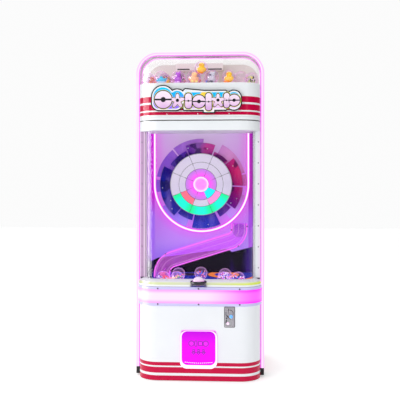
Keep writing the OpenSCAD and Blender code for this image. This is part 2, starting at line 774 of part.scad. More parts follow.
module bin_rotor() color([0.95, 0.8, 0.2]) translate([rotor_x, rotor_y, 0]) {
    difference() {
        translate([0, 0, wheel_z]) cylinder(h = wheel_h, r = rotor_r);
        for (i = [0 : 4]) rotate(pocket_a + i * 72) translate([pocket_orbit, 0, wheel_z - 1])
            cylinder(h = wheel_h + 2, r = pocket_r);
    }
    translate([0, 0, gear_z + gear_h]) cylinder(h = wheel_z - gear_z - gear_h, r = shaft_r);
    translate([0, 0, gear_z]) gear(gear_n, gear_h, 0);
}

module rotor_pinion() color(c_steel) translate([rotor_x - gear_gap, rotor_y, 0]) {
    translate([0, 0, gear_z - 1]) gear(pinion_n, gear_h + 2, 180 / pinion_n);
    translate([0, 0, gear_z - 40]) cylinder(h = 39, r = 4);
}

module gear_motor() color([0.25, 0.25, 0.28]) translate([rotor_x - gear_gap, rotor_y, 0]) difference() {
    union() {
        translate([0, 0, gear_z - 80]) cylinder(h = 72, r = 22);
        translate([-60, -30, gear_z - 8]) cube([82, 60, 4]);
        for (y = [-22, 22]) translate([-52, y, gear_z - 4]) cylinder(h = well_z - gear_z + 4, r = 5);
    }
    translate([0, 0, gear_z - 41]) cylinder(h = 60, r = 4 + fit);
}

dome_in = 3;
dome_t = 3;
dome_r1 = 111;

// Solid dome shape, inset by a distance
module dome_body(inset) intersection() {
    floor_plate(dome_in + inset, bin_y1, bin_floor - (inset > 0 ? 1 : 0), 400);
    upright(front_y - 1, bin_y1 + 1) dome_profile(inset);
    translate([-half_w, 0, 0]) rotate([90, 0, 90]) linear_extrude(body_w) side_profile(inset);
}

// Front view of the dome
module dome_profile(inset) {
    w = half_w - dome_in - inset;
    r = dome_r1 - inset;
    top = dome_top - inset;
    translate([-w, 0]) square([2 * w, top - r]);
    translate([-w + r, 0]) square([2 * (w - r), top]);
    for (s = [-1, 1]) translate([s * (w - r), top - r]) circle(r);
}

// Side view of the dome, rounded at the top front edge
module side_profile(inset) {
    y0 = front_y + dome_in + inset;
    r = dome_r1 - inset;
    top = dome_top - inset;
    translate([y0, 0]) square([bin_y1 + 2 - y0, top - r]);
    translate([y0 + r, 0]) square([bin_y1 + 2 - y0 - r, top]);
    translate([y0 + r, top - r]) circle(r);
}

module dome_cover() color(c_clear) difference() {
    dome_body(0);
    dome_body(dome_t);
    translate([-500, bin_y1 - 0.5, 0]) cube([1000, 10, 3000]);
}

hatch_x = -10;
hatch_w = 240;
hatch_lo = 1835;
hatch_h = 110;
hatch_pin_y = bin_y1 + 9;
hatch_pin_z = hatch_lo - 9;

module bin_wall() color([0.92, 0.9, 0.88]) {
    difference() {
        upright(bin_y1, bin_y1 + 4) intersection() {
            dome_profile(0);
            translate([-half_w, bin_floor]) square([body_w, 400]);
        }
        block([hatch_x - hatch_w / 2, bin_y1 - 1, hatch_lo], [hatch_x + hatch_w / 2, bin_y1 + 5, hatch_lo + hatch_h]);
    }
    for (x = [-70, 70]) rod_x(hatch_pin_y, hatch_pin_z, 2, hatch_x + x - 22, hatch_x + x + 22);
    for (x = [-93.5, -46.5, 46.5, 93.5]) block([hatch_x + x - 2, bin_y1 + 4, hatch_pin_z - 3],
        [hatch_x + x + 2, hatch_pin_y, hatch_pin_z + 3]);
}

module bin_hatch() color([0.85, 0.86, 0.88]) {
    block([hatch_x - hatch_w / 2 - 8, bin_y1 + 4.5, hatch_lo - 2], [hatch_x + hatch_w / 2 + 8, bin_y1 + 7.5, hatch_lo + hatch_h + 8]);
    for (x = [-70, 70]) difference() {
        union() {
            rod_x(hatch_pin_y, hatch_pin_z, 4.2, hatch_x + x - 18, hatch_x + x + 18);
            block([hatch_x + x - 18, hatch_pin_y - 3, hatch_pin_z], [hatch_x + x + 18, hatch_pin_y, hatch_lo + 4]);
        }
        rod_x(hatch_pin_y, hatch_pin_z, 2 + fit, hatch_x + x - 30, hatch_x + x + 30);
    }
}

lamp_lo = 1942;
module bin_lamp() color([0.98, 0.98, 0.96]) difference() {
    block([-173, bin_y1 - 80, lamp_lo], [137, bin_y1, dome_top - dome_t]);
    for (x = [[-163, -82], [19, 130]])
        block([x[0], bin_y1 - 81, lamp_lo + 5], [x[1], bin_y1 - 74, lamp_lo + 10]);
}

front_caps = [[-324, 130], [-236, 75], [-129, 62], [-34, 60], [79, 62], [181, 66], [256, 112], [322, 170]];
rear_caps = [for (x = [-310, -222, -134, -46], d = [250, 338]) [x, d]];
mid_caps = [[-225, 162], [-130, 160], [-32, 156], [62, 150]];

module bin_capsules() color([0.9, 0.85, 1, 0.5]) {
    for (p = concat(front_caps, mid_caps, rear_caps))
        translate([p[0], front_y + p[1], bin_floor + cap_r]) sphere(r = cap_r);
    translate([10, front_y + 106, bin_floor + cap_r + 63]) sphere(r = cap_r);
}

levelling_feet();
base_board();
lower_shell();
crimson_stripes();
rear_frame();
rear_door();
hinge_pins();
lock_barrel();
lock_cam();
rear_handles();
side_panels();
arch_shell();
arch_neon();
arch_feet();
band_housing();
band_diffuser();
panel_screws();
console_rim();
rim_inlay();
button_bezel();
button_dome();
coin_plate();
coin_reject_button();
coin_return_flap();
coin_mechanism();
door_bezel();
prize_flap();
prize_box();
cash_box();
control_board();
power_supply();
power_inlet();
window_glass();
window_posts();
game_ceiling();
back_panel();
inner_walls();
play_floor();
play_capsules();
neon_u();
board_housing();
board_tiles();
board_lens();
blades_front();
blades_rear();
s_chute();
drop_tubes();
cornice_band();
groove_seal();
header_shell();
sign_board();
bin_base();
bin_rotor();
rotor_pinion();
gear_motor();
dome_cover();
bin_wall();
bin_hatch();
bin_lamp();
bin_capsules();
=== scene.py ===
"""Looks for the capsule toy vendor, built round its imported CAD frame. Metres, front towards -Y."""
import functools
import math
import random
import bmesh
import bpy
from mathutils import Matrix, Vector


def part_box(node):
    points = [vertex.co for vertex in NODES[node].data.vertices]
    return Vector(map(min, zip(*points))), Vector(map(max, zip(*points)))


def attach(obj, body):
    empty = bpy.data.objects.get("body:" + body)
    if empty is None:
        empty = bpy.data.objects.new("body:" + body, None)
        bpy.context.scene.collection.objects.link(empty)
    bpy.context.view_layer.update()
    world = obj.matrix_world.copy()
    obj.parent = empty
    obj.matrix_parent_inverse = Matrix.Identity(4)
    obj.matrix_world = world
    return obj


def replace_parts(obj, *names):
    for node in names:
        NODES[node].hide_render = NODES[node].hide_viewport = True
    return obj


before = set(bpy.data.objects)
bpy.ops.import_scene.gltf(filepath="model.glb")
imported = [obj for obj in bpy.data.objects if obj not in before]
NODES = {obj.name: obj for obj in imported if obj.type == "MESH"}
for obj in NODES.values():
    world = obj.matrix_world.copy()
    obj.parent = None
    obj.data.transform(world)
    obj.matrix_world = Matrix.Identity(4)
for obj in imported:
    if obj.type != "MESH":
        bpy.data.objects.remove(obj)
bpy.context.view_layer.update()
ROOT = "cabinet"
RNG = random.Random(7)


# ---------- where the frame puts things ----------

def low(node):
    return Vector(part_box(node)[0])


def high(node):
    return Vector(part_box(node)[1])


FRONT = low("lower_shell").y
BACK = high("rear_frame").y
HALF = high("lower_shell").x
PANEL = low("back_panel").y
BOARD_Z = (low("board_housing").z + high("board_housing").z) / 2
BOARD_FACE = low("board_tiles").y
BOARD_R = high("board_housing").x
NEON_R = (high("neon_u").x - low("neon_u").x) / 2 - 0.006
CORNICE = low("cornice_band").z
BAND = (low("band_diffuser").z, high("band_diffuser").z)
CAP_R = (high("play_capsules").z - low("play_capsules").z) / 2
CORNER = low("arch_neon").y - FRONT
ARCH_R = 0.135
ARCH_INNER = 0.376
CAVITY_FOOT = 0.62
POST_FOOT = 0.618
BEZEL_FOOT, BEZEL_TOP = 0.082, 0.310


# ---------- node materials ----------

class Val:
    """A shader value that can be written as arithmetic."""

    def __init__(self, tree, socket):
        self.tree = tree
        self.socket = socket

    def op(self, kind, *others):
        node = self.tree.nodes.new("ShaderNodeMath")
        node.operation = kind
        for i, value in enumerate((self, *others)):
            if isinstance(value, Val):
                self.tree.links.new(value.socket, node.inputs[i])
            else:
                node.inputs[i].default_value = value
        return Val(self.tree, node.outputs[0])

    def between(self, a, b):
        return self.above(a) * self.below(b)

    def flip(self):
        """1 minus the value."""
        return self * -1.0 + 1.0

    def smooth(self, a, b):
        """0 below a, 1 above b, eased between."""
        node = self.tree.nodes.new("ShaderNodeMapRange")
        node.interpolation_type = "SMOOTHSTEP"
        node.inputs["From Min"].default_value = a
        node.inputs["From Max"].default_value = b
        self.tree.links.new(self.socket, node.inputs["Value"])
        return Val(self.tree, node.outputs["Result"])


OPERATIONS = {
    "__add__": "ADD", "__sub__": "SUBTRACT", "__mul__": "MULTIPLY", "__truediv__": "DIVIDE",
    "above": "GREATER_THAN", "below": "LESS_THAN", "max": "MAXIMUM", "min": "MINIMUM",
    "abs": "ABSOLUTE", "root": "SQRT",
}
for method, operation in OPERATIONS.items():
    setattr(Val, method, functools.partialmethod(Val.op, operation))


class Shader:
    """A node material built up from its Principled shader."""

    def __init__(self, name):
        self.mat = bpy.data.materials.new(name)
        self.mat.use_nodes = True
        self.tree = self.mat.node_tree
        self.bsdf = self.tree.nodes["Principled BSDF"]
        self.out = self.tree.nodes["Material Output"]
        self._coords = None

    def node(self, kind, **values):
        made = self.tree.nodes.new(kind)
        for key, value in values.items():
            setattr(made, key, value)
        return made

    def link(self, a, b):
        self.tree.links.new(a.socket if isinstance(a, Val) else a, b)

    def set(self, **values):
        for key, value in values.items():
            socket = self.bsdf.inputs[key.replace("_", " ")]
            socket.default_value = (*value, 1.0) if isinstance(value, tuple) else value
        return self

    def coords(self):
        if self._coords is None:
            self._coords = self.node("ShaderNodeTexCoord").outputs["Object"]
        return self._coords

    def xyz(self):
        split = self.node("ShaderNodeSeparateXYZ")
        self.link(self.coords(), split.inputs[0])
        return [Val(self.tree, split.outputs[i]) for i in range(3)]

    def uv(self):
        split = self.node("ShaderNodeSeparateXYZ")
        self.link(self.node("ShaderNodeTexCoord").outputs["UV"], split.inputs[0])
        return [Val(self.tree, split.outputs[i]) for i in range(2)]

    def noise(self, scale, detail=3.0, stretch=None):
        source = self.coords()
        if stretch:
            mapping = self.node("ShaderNodeMapping")
            mapping.inputs["Scale"].default_value = stretch
            self.link(source, mapping.inputs["Vector"])
            source = mapping.outputs[0]
        tex = self.node("ShaderNodeTexNoise")
        tex.inputs["Scale"].default_value = scale
        tex.inputs["Detail"].default_value = detail
        self.link(source, tex.inputs["Vector"])
        return Val(self.tree, tex.outputs["Fac"])

    def ramp(self, value, stops):
        """Colour ramp; stops are (position, (r, g, b))."""
        ramp = self.node("ShaderNodeValToRGB")
        band = ramp.color_ramp
        while len(band.elements) < len(stops):
            band.elements.new(0.5)
        for element, (at, colour) in zip(band.elements, stops):
            element.position = at
            element.color = (*colour, 1.0)
        self.link(value, ramp.inputs[0])
        return ramp.outputs[0]

    def mix(self, fac, a, b):
        """Mixes two colours, each a socket or an (r, g, b)."""
        made = self.node("ShaderNodeMix", data_type="RGBA")
        if isinstance(fac, float):
            made.inputs["Factor"].default_value = fac
        else:
            self.link(fac, made.inputs["Factor"])
        for key, value in ((6, a), (7, b)):
            if isinstance(value, tuple):
                made.inputs[key].default_value = (*value, 1.0)
            else:
                self.link(value, made.inputs[key])
        return made.outputs[2]

    def bump(self, height, strength, distance=0.001):
        made = self.node("ShaderNodeBump")
        made.inputs["Strength"].default_value = strength
        made.inputs["Distance"].default_value = distance
        self.link(height, made.inputs["Height"])
        self.link(made.outputs[0], self.bsdf.inputs["Normal"])
        return self

    def colour(self, socket):
        self.link(socket, self.bsdf.inputs["Base Color"])
        return self

    def glow(self, socket, strength):
        if isinstance(socket, tuple):
            self.bsdf.inputs["Emission Color"].default_value = (*socket, 1.0)
        else:
            self.link(socket, self.bsdf.inputs["Emission Color"])
        self.bsdf.inputs["Emission Strength"].default_value = strength
        return self

    def lit(self, socket, power, share=0.2):
        """Glows with a colour and shows a share of it as paint."""
        self.colour(self.mix(share, (0.0, 0.0, 0.0), socket))
        return self.glow(socket, power)

    def rough(self, value, lo, hi):
        self.link(value * (hi - lo) + lo, self.bsdf.inputs["Roughness"])
        return self

    def see_through(self, clear, tint=(1.0, 1.0, 1.0)):
        """Lets a share of the light straight through the Principled surface."""
        hole = self.node("ShaderNodeBsdfTransparent")
        hole.inputs[0].default_value = (*tint, 1.0)
        made = self.node("ShaderNodeMixShader")
        if isinstance(clear, Val):
            self.link(clear, made.inputs[0])
        else:
            made.inputs[0].default_value = clear
        self.link(self.bsdf.outputs[0], made.inputs[1])
        self.link(hole.outputs[0], made.inputs[2])
        self.link(made.outputs[0], self.out.inputs["Surface"])
        return self


def shade(colour, factor):
    return tuple(min(1.0, c * factor) for c in colour)


def painted(name, colour, rough=0.3, peel=0.08, metallic=0.0):
    """Sprayed or moulded surface: faint tone drift, orange peel and uneven gloss."""
    s = Shader(name)
    drift = s.noise(6.0, 4.0)
    s.colour(s.mix(drift, shade(colour, 0.965), shade(colour, 1.03)))
    s.rough(s.noise(40.0), rough * 0.85, rough * 1.2)
    s.set(Metallic=metallic)
    s.bump(s.noise(900.0, 2.0), peel)
    return s


def brushed(name, colour, rough=0.32):
    """Brushed metal with fine level lines."""
    s = Shader(name)
    lines = s.noise(60.0, 6.0, (2.0, 2.0, 60.0))
    s.colour(s.mix(lines, shade(colour, 0.8), shade(colour, 1.12)))
    s.rough(lines, rough * 0.7, rough * 1.3)
    s.set(Metallic=1.0)
    s.bump(lines, 0.12)
    return s


def clear(name, tint=(1.0, 1.0, 1.0), body=0.04, edge=0.55, shine=(1.0, 1.0, 1.0)):
    """Clear plastic or glass: a thin film that shines at grazing angles."""
    s = Shader(name)
    smudge = s.noise(5.0, 3.0)
    s.set(Metallic=1.0)
    s.colour(s.mix(smudge, shade(shine, 0.92), shine))
    s.rough(smudge, 0.03, 0.075)
    face = s.node("ShaderNodeLayerWeight")
    face.inputs["Blend"].default_value = 0.5
    facing = Val(s.tree, face.outputs["Facing"])
    solid = facing * facing * facing * (edge - body) + body
    s.see_through(solid.flip(), tint)
    return s


def neon(name, stops, power=1.0):
    """Lit tube; stops colour it from its outer side (0) to its inner side (1)."""
    s = Shader(name)
    v = s.uv()[1]
    s.lit(s.ramp(v + (s.noise(30.0) - 0.5) * 0.06, stops), power, 0.05)
    s.set(Roughness=0.3)
    return s


def glow_line(name, edge, middle, power=1.0):
    """Lit tube that is brightest along its middle."""
    return neon(name, [(0.0, edge), (0.5, middle), (1.0, edge)], power)


def lit_plastic(name, dim, bright, grain, power, share):
    """Plastic lit from inside, its tone drifting between two colours."""
    s = Shader(name)
    s.lit(s.mix(s.noise(grain), dim, bright), power, share)
    return s


# ---------- mesh helpers ----------

def add(name, bm, mats, body=ROOT, smooth=True, angle=35.0):
    """Makes a piece from a bmesh, gives it its materials and lets it ride on a body."""
    bmesh.ops.recalc_face_normals(bm, faces=bm.faces)
    mesh = bpy.data.meshes.new(name)
    bm.to_mesh(mesh)
    bm.free()
    obj = bpy.data.objects.new(name, mesh)
    bpy.context.scene.collection.objects.link(obj)
    for shader in mats if isinstance(mats, list) else [mats]:
        mesh.materials.append(shader.mat)
    if smooth:
        mesh.shade_smooth()
        mesh.set_sharp_from_angle(angle=math.radians(angle))
    if body:
        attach(obj, body)
    return obj


def dress(shader, *nodes):
    """Gives CAD nodes a material."""
    for node in nodes:
        mesh = NODES[node].data
        mesh.materials.clear()
        mesh.materials.append(shader.mat)


def plate(bm, outline, y0, y1, bevel=0.0005, index=0):
    """Plate from a closed XZ outline, its front edge at y0 eased by a bevel."""
    n = len(outline)
    inner = inset(outline, bevel)
    rings = []
    for points, y in ((inner, y0), (outline, y0 + bevel), (outline, y1)):
        rings.append([bm.verts.new((p[0], y, p[1])) for p in points])
    for a, b in zip(rings, rings[1:]):
        for i in range(n):
            face = bm.faces.new((a[i], a[(i + 1) % n], b[(i + 1) % n], b[i]))
            face.material_index = index
    caps = [bm.faces.new(rings[0]), bm.faces.new(rings[-1])]
    for cap in caps:
        cap.material_index = index
        cap.normal_update()
    bmesh.ops.triangulate(bm, faces=caps)


def inset(points, by):
    """Moves a closed outline inwards."""
    area = sum(a[0] * b[1] - b[0] * a[1] for a, b in zip(points, points[1:] + points[:1]))
    sign = 1.0 if area > 0 else -1.0
    moved = []
    for i, p in enumerate(points):
        a, b = Vector(points[i - 1]), Vector(points[(i + 1) % len(points)])
        along = (b - a).normalized()
        moved.append((p[0] - along.y * by * sign, p[1] + along.x * by * sign))
    return moved


def lathe(bm, profile, place=Matrix(), count=32, index=0):
    """Turns (radius, height) points round Z and moves the result by a matrix."""
    rings = []
    for r, h in profile:
        if r < 1e-6:
            rings.append([bm.verts.new(place @ Vector((0, 0, h)))] * count)
            continue
        turns = [2 * math.pi * k / count for k in range(count)]
        rings.append([bm.verts.new(place @ Vector((r * math.cos(t), r * math.sin(t), h))) for t in turns])
    for a, b in zip(rings, rings[1:]):
        for k in range(count):
            corners = [a[k], a[(k + 1) % count], b[(k + 1) % count], b[k]]
            unique = list(dict.fromkeys(corners))
            if len(unique) > 2:
                bm.faces.new(unique).material_index = index


def blob(bm, centre, radii, index=0, turn=Matrix(), rings=14):
    """Ellipsoid built as a lathe."""
    profile = [(math.sin(math.pi * k / rings), -math.cos(math.pi * k / rings)) for k in range(rings + 1)]
    profile[0] = (0.0, -1.0)
    profile[-1] = (0.0, 1.0)
    place = Matrix.Translation(centre) @ turn.to_4x4() @ Matrix.Diagonal((*radii, 1.0))
    lathe(bm, profile, place, 22, index)


def sweep(bm, path, section, closed=False):
    """Sweeps (out, forward) points along an XZ path at depth y; UV v runs across the section."""
    layer = bm.loops.layers.uv.verify()
    rings = []
    count = len(path)
    for i, p in enumerate(path):
        a = Vector(path[(i - 1) % count if closed else max(i - 1, 0)])
        b = Vector(path[(i + 1) % count if closed else min(i + 1, count - 1)])
        along = Vector((b.x - a.x, 0.0, b.z - a.z)).normalized()
        out = Vector((along.z, 0.0, -along.x))
        rings.append([bm.verts.new(Vector(p) + out * o - Vector((0, f, 0))) for o, f in section])
    spans = list(zip(rings, rings[1:] + (rings[:1] if closed else [])))
    for i, (a, b) in enumerate(spans if closed else spans[:count - 1]):
        for k in range(len(section) - 1):
            face = bm.faces.new((a[k], a[k + 1], b[k + 1], b[k]))
            us = (i, i, i + 1, i + 1)
            vs = (k, k + 1, k + 1, k)
            for loop, u, v in zip(face.loops, us, vs):
                loop[layer].uv = (u / count, v / (len(section) - 1))
    if not closed:
        bm.faces.new(rings[0])
        bm.faces.new(rings[-1])


def arc(cx, cz, r, a0, a1, count, y=0.0):
    """Points on an arc in XZ; angles in degrees from +X towards +Z."""
    steps = [math.radians(a0 + (a1 - a0) * k / (count - 1)) for k in range(count)]
    return [(cx + r * math.cos(t), y, cz + r * math.sin(t)) for t in steps]


def flat(points):
    """Drops the depth from swept points."""
    return [(p[0], p[2]) for p in points]


def rounded(cx, cz, w, h, r, count=9):
    """Closed rounded rectangle in XZ."""
    points = []
    for sx, sz, a in ((1, 1, 0), (-1, 1, 90), (-1, -1, 180), (1, -1, 270)):
        points += flat(arc(cx + sx * (w / 2 - r), cz + sz * (h / 2 - r), r, a, a + 90, count))
    return points


def facing(x, y, z):
    """Puts a lathe at a point, its axis turned from +Z to -Y."""
    return Matrix.Translation((x, y, z)) @ Matrix.Rotation(math.radians(90), 4, "X")


def turned(points, cx, cz, angle):
    """Turns XZ points about the origin and moves them to a centre."""
    c, s = math.cos(angle), math.sin(angle)
    return [(cx + a * c - b * s, cz + a * s + b * c) for a, b in points]


def screw(bm, x, y, z, r=0.0045, head=0.0016):
    """Pan-head screw on a face that looks to -Y; its cross recess has index 1, which the callers paint black
    as painted shade.
    """
    profile = [(0, head * 0.9), (r * 0.5, head), (r * 0.85, head * 0.75), (r, head * 0.3), (r, 0.0)]
    lathe(bm, profile, facing(x, y, z), 20)
    long, wide = r * 0.55, r * 0.1
    bar = [(-long, -wide), (long, -wide), (long, wide), (-long, wide)]
    for angle in (20, 110):
        slot = turned(bar, x, z, math.radians(angle))
        plate(bm, slot, y - head - 0.0002, y - head * 0.6, 0.00005, 1)


# ---------- camera, light and floor ----------

CAMERA_TURN = math.radians(3.5)
CAMERA_DISTANCE = 4.3
CAMERA_HEIGHT = 1.208


def build_stage():
    scene = bpy.context.scene
    scene.view_settings.view_transform = "Standard"
    cam = bpy.data.cameras.new("camera")
    cam.lens = 64.0
    cam.shift_x = 0.0035
    cam.shift_y = -0.045
    camera = bpy.data.objects.new("camera", cam)
    scene.collection.objects.link(camera)
    camera.location = (math.sin(CAMERA_TURN) * CAMERA_DISTANCE,
                       FRONT - math.cos(CAMERA_TURN) * CAMERA_DISTANCE, CAMERA_HEIGHT)
    camera.rotation_euler = (math.radians(90), 0.0, CAMERA_TURN)
    scene.camera = camera

    build_world(scene)
    softbox("key", (-1.9, FRONT - 2.6, 2.2), (0.0, 0.0, 1.1), (1.4, 2.0), 26.0)
    softbox("fill", (2.2, FRONT - 2.2, 1.6), (0.0, FRONT, 1.1), (0.5, 2.4), 6.0)
    softbox("top", (0.0, -0.3, 3.6), (0.0, 0.0, 1.0), (1.6, 1.6), 14.0)
    softbox("rear", (-1.2, 3.0, 2.4), (0.0, 0.0, 1.0), (1.6, 2.0), 24.0)
    streak = softbox("streak", (-3.3, -0.75, 1.1), (-0.3, FRONT, 1.1), (2.5, 2.6), 210.0)
    streak.visible_diffuse = False

    bm = bmesh.new()
    bmesh.ops.create_grid(bm, x_segments=24, y_segments=24, size=14.0)
    ground = painted("studio_floor", (0.90, 0.90, 0.90), rough=0.9, peel=0.02)
    ground.glow((1.0, 1.0, 1.0), 0.42)
    floor = add("studio_floor", bm, ground, body=None, smooth=False)


def build_world(scene):
    """White for the camera, softer on surfaces and dim in reflections."""
    world = bpy.data.worlds.new("studio")
    world.use_nodes = True
    tree = world.node_tree
    path = tree.nodes.new("ShaderNodeLightPath")
    seen = Val(tree, path.outputs["Is Camera Ray"])
    mirrored = Val(tree, path.outputs["Is Glossy Ray"])
    split = tree.nodes.new("ShaderNodeSeparateXYZ")
    tree.links.new(tree.nodes.new("ShaderNodeTexCoord").outputs["Generated"], split.inputs[0])
    rightward = Val(tree, split.outputs[0]).smooth(-0.3, 0.9)
    soft = (rightward * -0.52 + 0.84) * (mirrored * -0.62 + 1.0)
    strength = seen * 0.97 + seen.flip() * soft
    back = tree.nodes["Background"]
    back.inputs[0].default_value = (1.0, 1.0, 1.0, 1.0)
    tree.links.new(strength.socket, back.inputs[1])
    scene.world = world


def softbox(name, at, target, size, power):
    light = bpy.data.lights.new(name, "AREA")
    light.shape = "RECTANGLE"
    light.size, light.size_y = size
    light.energy = power
    obj = bpy.data.objects.new(name, light)
    bpy.context.scene.collection.objects.link(obj)
    obj.location = at
    obj.rotation_euler = (Vector(target) - Vector(at)).to_track_quat("-Z", "Y").to_euler()
    return obj


# ---------- materials of the CAD nodes ----------

WHITE = (0.83, 0.86, 0.89)
CRIMSON = (0.56, 0.0, 0.050)
MAGENTA = (1.0, 0.0, 0.93)
BLACK = (0.012, 0.012, 0.014)
STEEL = (0.42, 0.42, 0.45)


def rise_in(s, node):
    """0 at a node's foot and 1 at its top."""
    foot, top = low(node).z, high(node).z
    return (s.xyz()[2] - foot) / (top - foot)


def post_material():
    """White posts that pick up the window's light on the left."""
    s = Shader("window_post")
    x = s.xyz()[0]
    across = (x.abs() - 0.333) / 0.040
    grain = (s.noise(20.0, 2.0, (1.0, 1.0, 0.1)) - 0.5) * 0.25
    bands = s.ramp(across + grain, [
        (0.0, (0.62, 0.50, 0.66)), (0.35, (0.80, 0.62, 0.80)),
        (0.6, (0.45, 0.28, 0.47)), (1.0, (0.60, 0.36, 0.60))])
    outer = s.mix(across.smooth(0.5, 1.0), WHITE, (0.85, 0.75, 0.88))
    s.colour(s.mix(x.above(0.0), bands, outer))
    s.rough(s.noise(40.0), 0.2, 0.3)
    return s


def board_rim_material():
    s = Shader("board_rim")
    # Painted shade: the rim's side turns from lilac to near black away from the board's face.
    depth = (s.xyz()[1] - BOARD_FACE).smooth(0.001, 0.006)
    lilac = s.mix(s.noise(30.0), (0.20, 0.17, 0.25), (0.28, 0.24, 0.34))
    s.colour(s.mix(depth, lilac, (0.03, 0.02, 0.05)))
    s.set(Roughness=0.35)
    return s


def dress_shells():
    white = painted("white_coat", WHITE, rough=0.22)
    dress(white, "lower_shell", "header_shell", "cornice_band", "side_panels", "arch_shell")
    dress(post_material(), "window_posts")
    dress(painted("rear_sheet", (0.72, 0.74, 0.77), 0.42, 0.2), "rear_frame", "rear_door", "game_ceiling")
    film = painted("crimson_film", CRIMSON, 0.16, 0.03)
    film.set(Specular_IOR_Level=0.15, Coat_Weight=0.1)
    dress(film, "crimson_stripes")
    dress(painted("white_plastic", (0.86, 0.88, 0.9), 0.28, 0.04), "console_rim", "bin_base", "bin_hatch")
    dress(painted("bin_wall_coat", (0.80, 0.75, 0.73), 0.4), "bin_wall")
    dress(painted("bin_lamp_coat", (0.92, 0.89, 0.87)), "bin_lamp")
    dress(painted("band_housing", (0.60, 0.58, 0.90), 0.25), "band_housing")


def dress_fittings():
    dress(painted("black_rubber", BLACK, 0.75, 0.4), "levelling_feet", "arch_feet", "groove_seal")
    gloss = painted("black_plastic", BLACK, 0.2, 0.05)
    dress(gloss, "button_bezel", "rear_handles", "power_inlet", "coin_mechanism")
    dress(board_rim_material(), "board_housing")
    steel = brushed("bare_steel", STEEL)
    dress(steel, "hinge_pins", "lock_barrel", "lock_cam", "rotor_pinion", "coin_return_flap")
    grey = painted("grey_coat", (0.3, 0.31, 0.33), 0.45, 0.25)
    dress(grey, "base_board", "cash_box", "power_supply", "gear_motor")
    dress(painted("solder_mask", (0.01, 0.12, 0.04), 0.35, 0.2), "control_board")
    dress(painted("rotor_plastic", (0.8, 0.55, 0.05), 0.4), "bin_rotor")
    dress(brushed("plate_steel", (0.40, 0.38, 0.42), 0.3), "coin_plate")


def dress_window():
    dress(clear("window_film", body=0.005, edge=0.5), "window_glass")
    dress(clear("dome_film", body=0.008, edge=0.22, shine=(1.0, 0.97, 1.0)), "dome_cover")
    chute = clear("chute_film", tint=(1.0, 0.80, 1.0), body=0.10, edge=0.7, shine=(0.85, 0.3, 1.0))
    chute.glow((0.75, 0.12, 0.95), 0.5)
    dress(chute, "s_chute")
    dress(lit_plastic("tube_wall", (0.40, 0.13, 0.75), (0.5, 0.2, 0.85), 9.0, 0.45, 0.4), "drop_tubes")


def band_material():
    """Opal strip, pale along its middle and deeper towards its edges and the right."""
    s = Shader("band_opal")
    x, _, z = s.xyz()
    middle, half = (BAND[0] + BAND[1]) / 2, (BAND[1] - BAND[0]) / 2
    edge = ((z - middle).abs() / half).smooth(0.35, 1.0)
    side = (x + 0.05).smooth(0.05, 0.42)
    centre = s.mix(side, (1.0, 0.70, 1.0), (1.0, 0.10, 1.0))
    rim = s.mix(side, (1.0, 0.34, 0.95), (0.95, 0.0, 0.98))
    s.lit(s.mix(edge, centre, rim), 0.95)
    s.set(Roughness=0.35).bump(s.noise(500.0), 0.03)
    return s


def inlay_material():
    """Yellow-green light line, greener towards the right and paler towards its top."""
    s = Shader("rim_inlay")
    tone = s.ramp((s.xyz()[0] + 0.4) / 0.8 + s.noise(9.0) * 0.06, [
        (0.0, (0.72, 0.76, 0.42)), (0.25, (0.76, 0.84, 0.42)), (0.5, (0.74, 0.76, 0.58)),
        (0.75, (0.74, 0.82, 0.30)), (1.0, (0.8, 0.95, 0.06))])
    upper = rise_in(s, "rim_inlay").smooth(0.3, 1.0)
    s.lit(s.mix(upper * 0.6, tone, (0.86, 0.88, 0.78)), 0.35, 0.6)
    s.set(Roughness=0.2)
    return s


def flap_material():
    s = Shader("prize_flap")
    up = rise_in(s, "prize_flap")
    pure = (1.0, 0.0, 1.0)
    tone = s.ramp(up + s.noise(14.0) * 0.05, [(0.0, pure), (0.55, pure), (1.0, (0.60, 0.0, 0.80))])
    s.lit(tone, 1.0, 0.08)
    s.set(Roughness=0.3, Specular_IOR_Level=0.15)
    return s


def bezel_material():
    """Lit door frame: near white in front, magenta towards the wall."""
    s = Shader("bezel_opal")
    depth = (s.xyz()[1] - low("door_bezel").y).smooth(0.002, 0.010)
    s.lit(s.mix(depth, (1.0, 0.93, 1.0), (1.0, 0.25, 1.0)), 0.95)
    s.set(Roughness=0.3).bump(s.noise(400.0), 0.02)
    return s


def button_material():
    s = Shader("button_opal")
    # Lit pink dome; the height ramp also paints shade at its foot and a highlight paling its top.
    tone = s.ramp(rise_in(s, "button_dome") + s.noise(40.0) * 0.05, [
        (0.0, (0.5, 0.1, 0.5)), (0.35, (0.95, 0.45, 0.9)), (0.6, (1.0, 0.75, 1.0)), (1.0, (0.9, 0.82, 0.95))])
    s.lit(tone, 0.5, 0.5)
    s.set(Roughness=0.08, Coat_Weight=0.6)
    return s


def reject_material():
    s = Shader("reject_led")
    s.lit(s.ramp(s.noise(90.0), [(0.2, (0.05, 0.25, 1.0)), (0.8, (0.3, 0.75, 1.0))]), 1.1)
    s.set(Roughness=0.15)
    return s


def dress_lights():
    dress(band_material(), "band_diffuser")
    dress(inlay_material(), "rim_inlay")
    dress(flap_material(), "prize_flap")
    dress(bezel_material(), "door_bezel")
    dress(button_material(), "button_dome")
    dress(reject_material(), "coin_reject_button")


def board_polar(s):
    """Values round the light board's centre: X, the height above it and the distance from it."""
    x, _, z = s.xyz()
    up = z - BOARD_Z
    return x, up, (x * x + up * up).root()


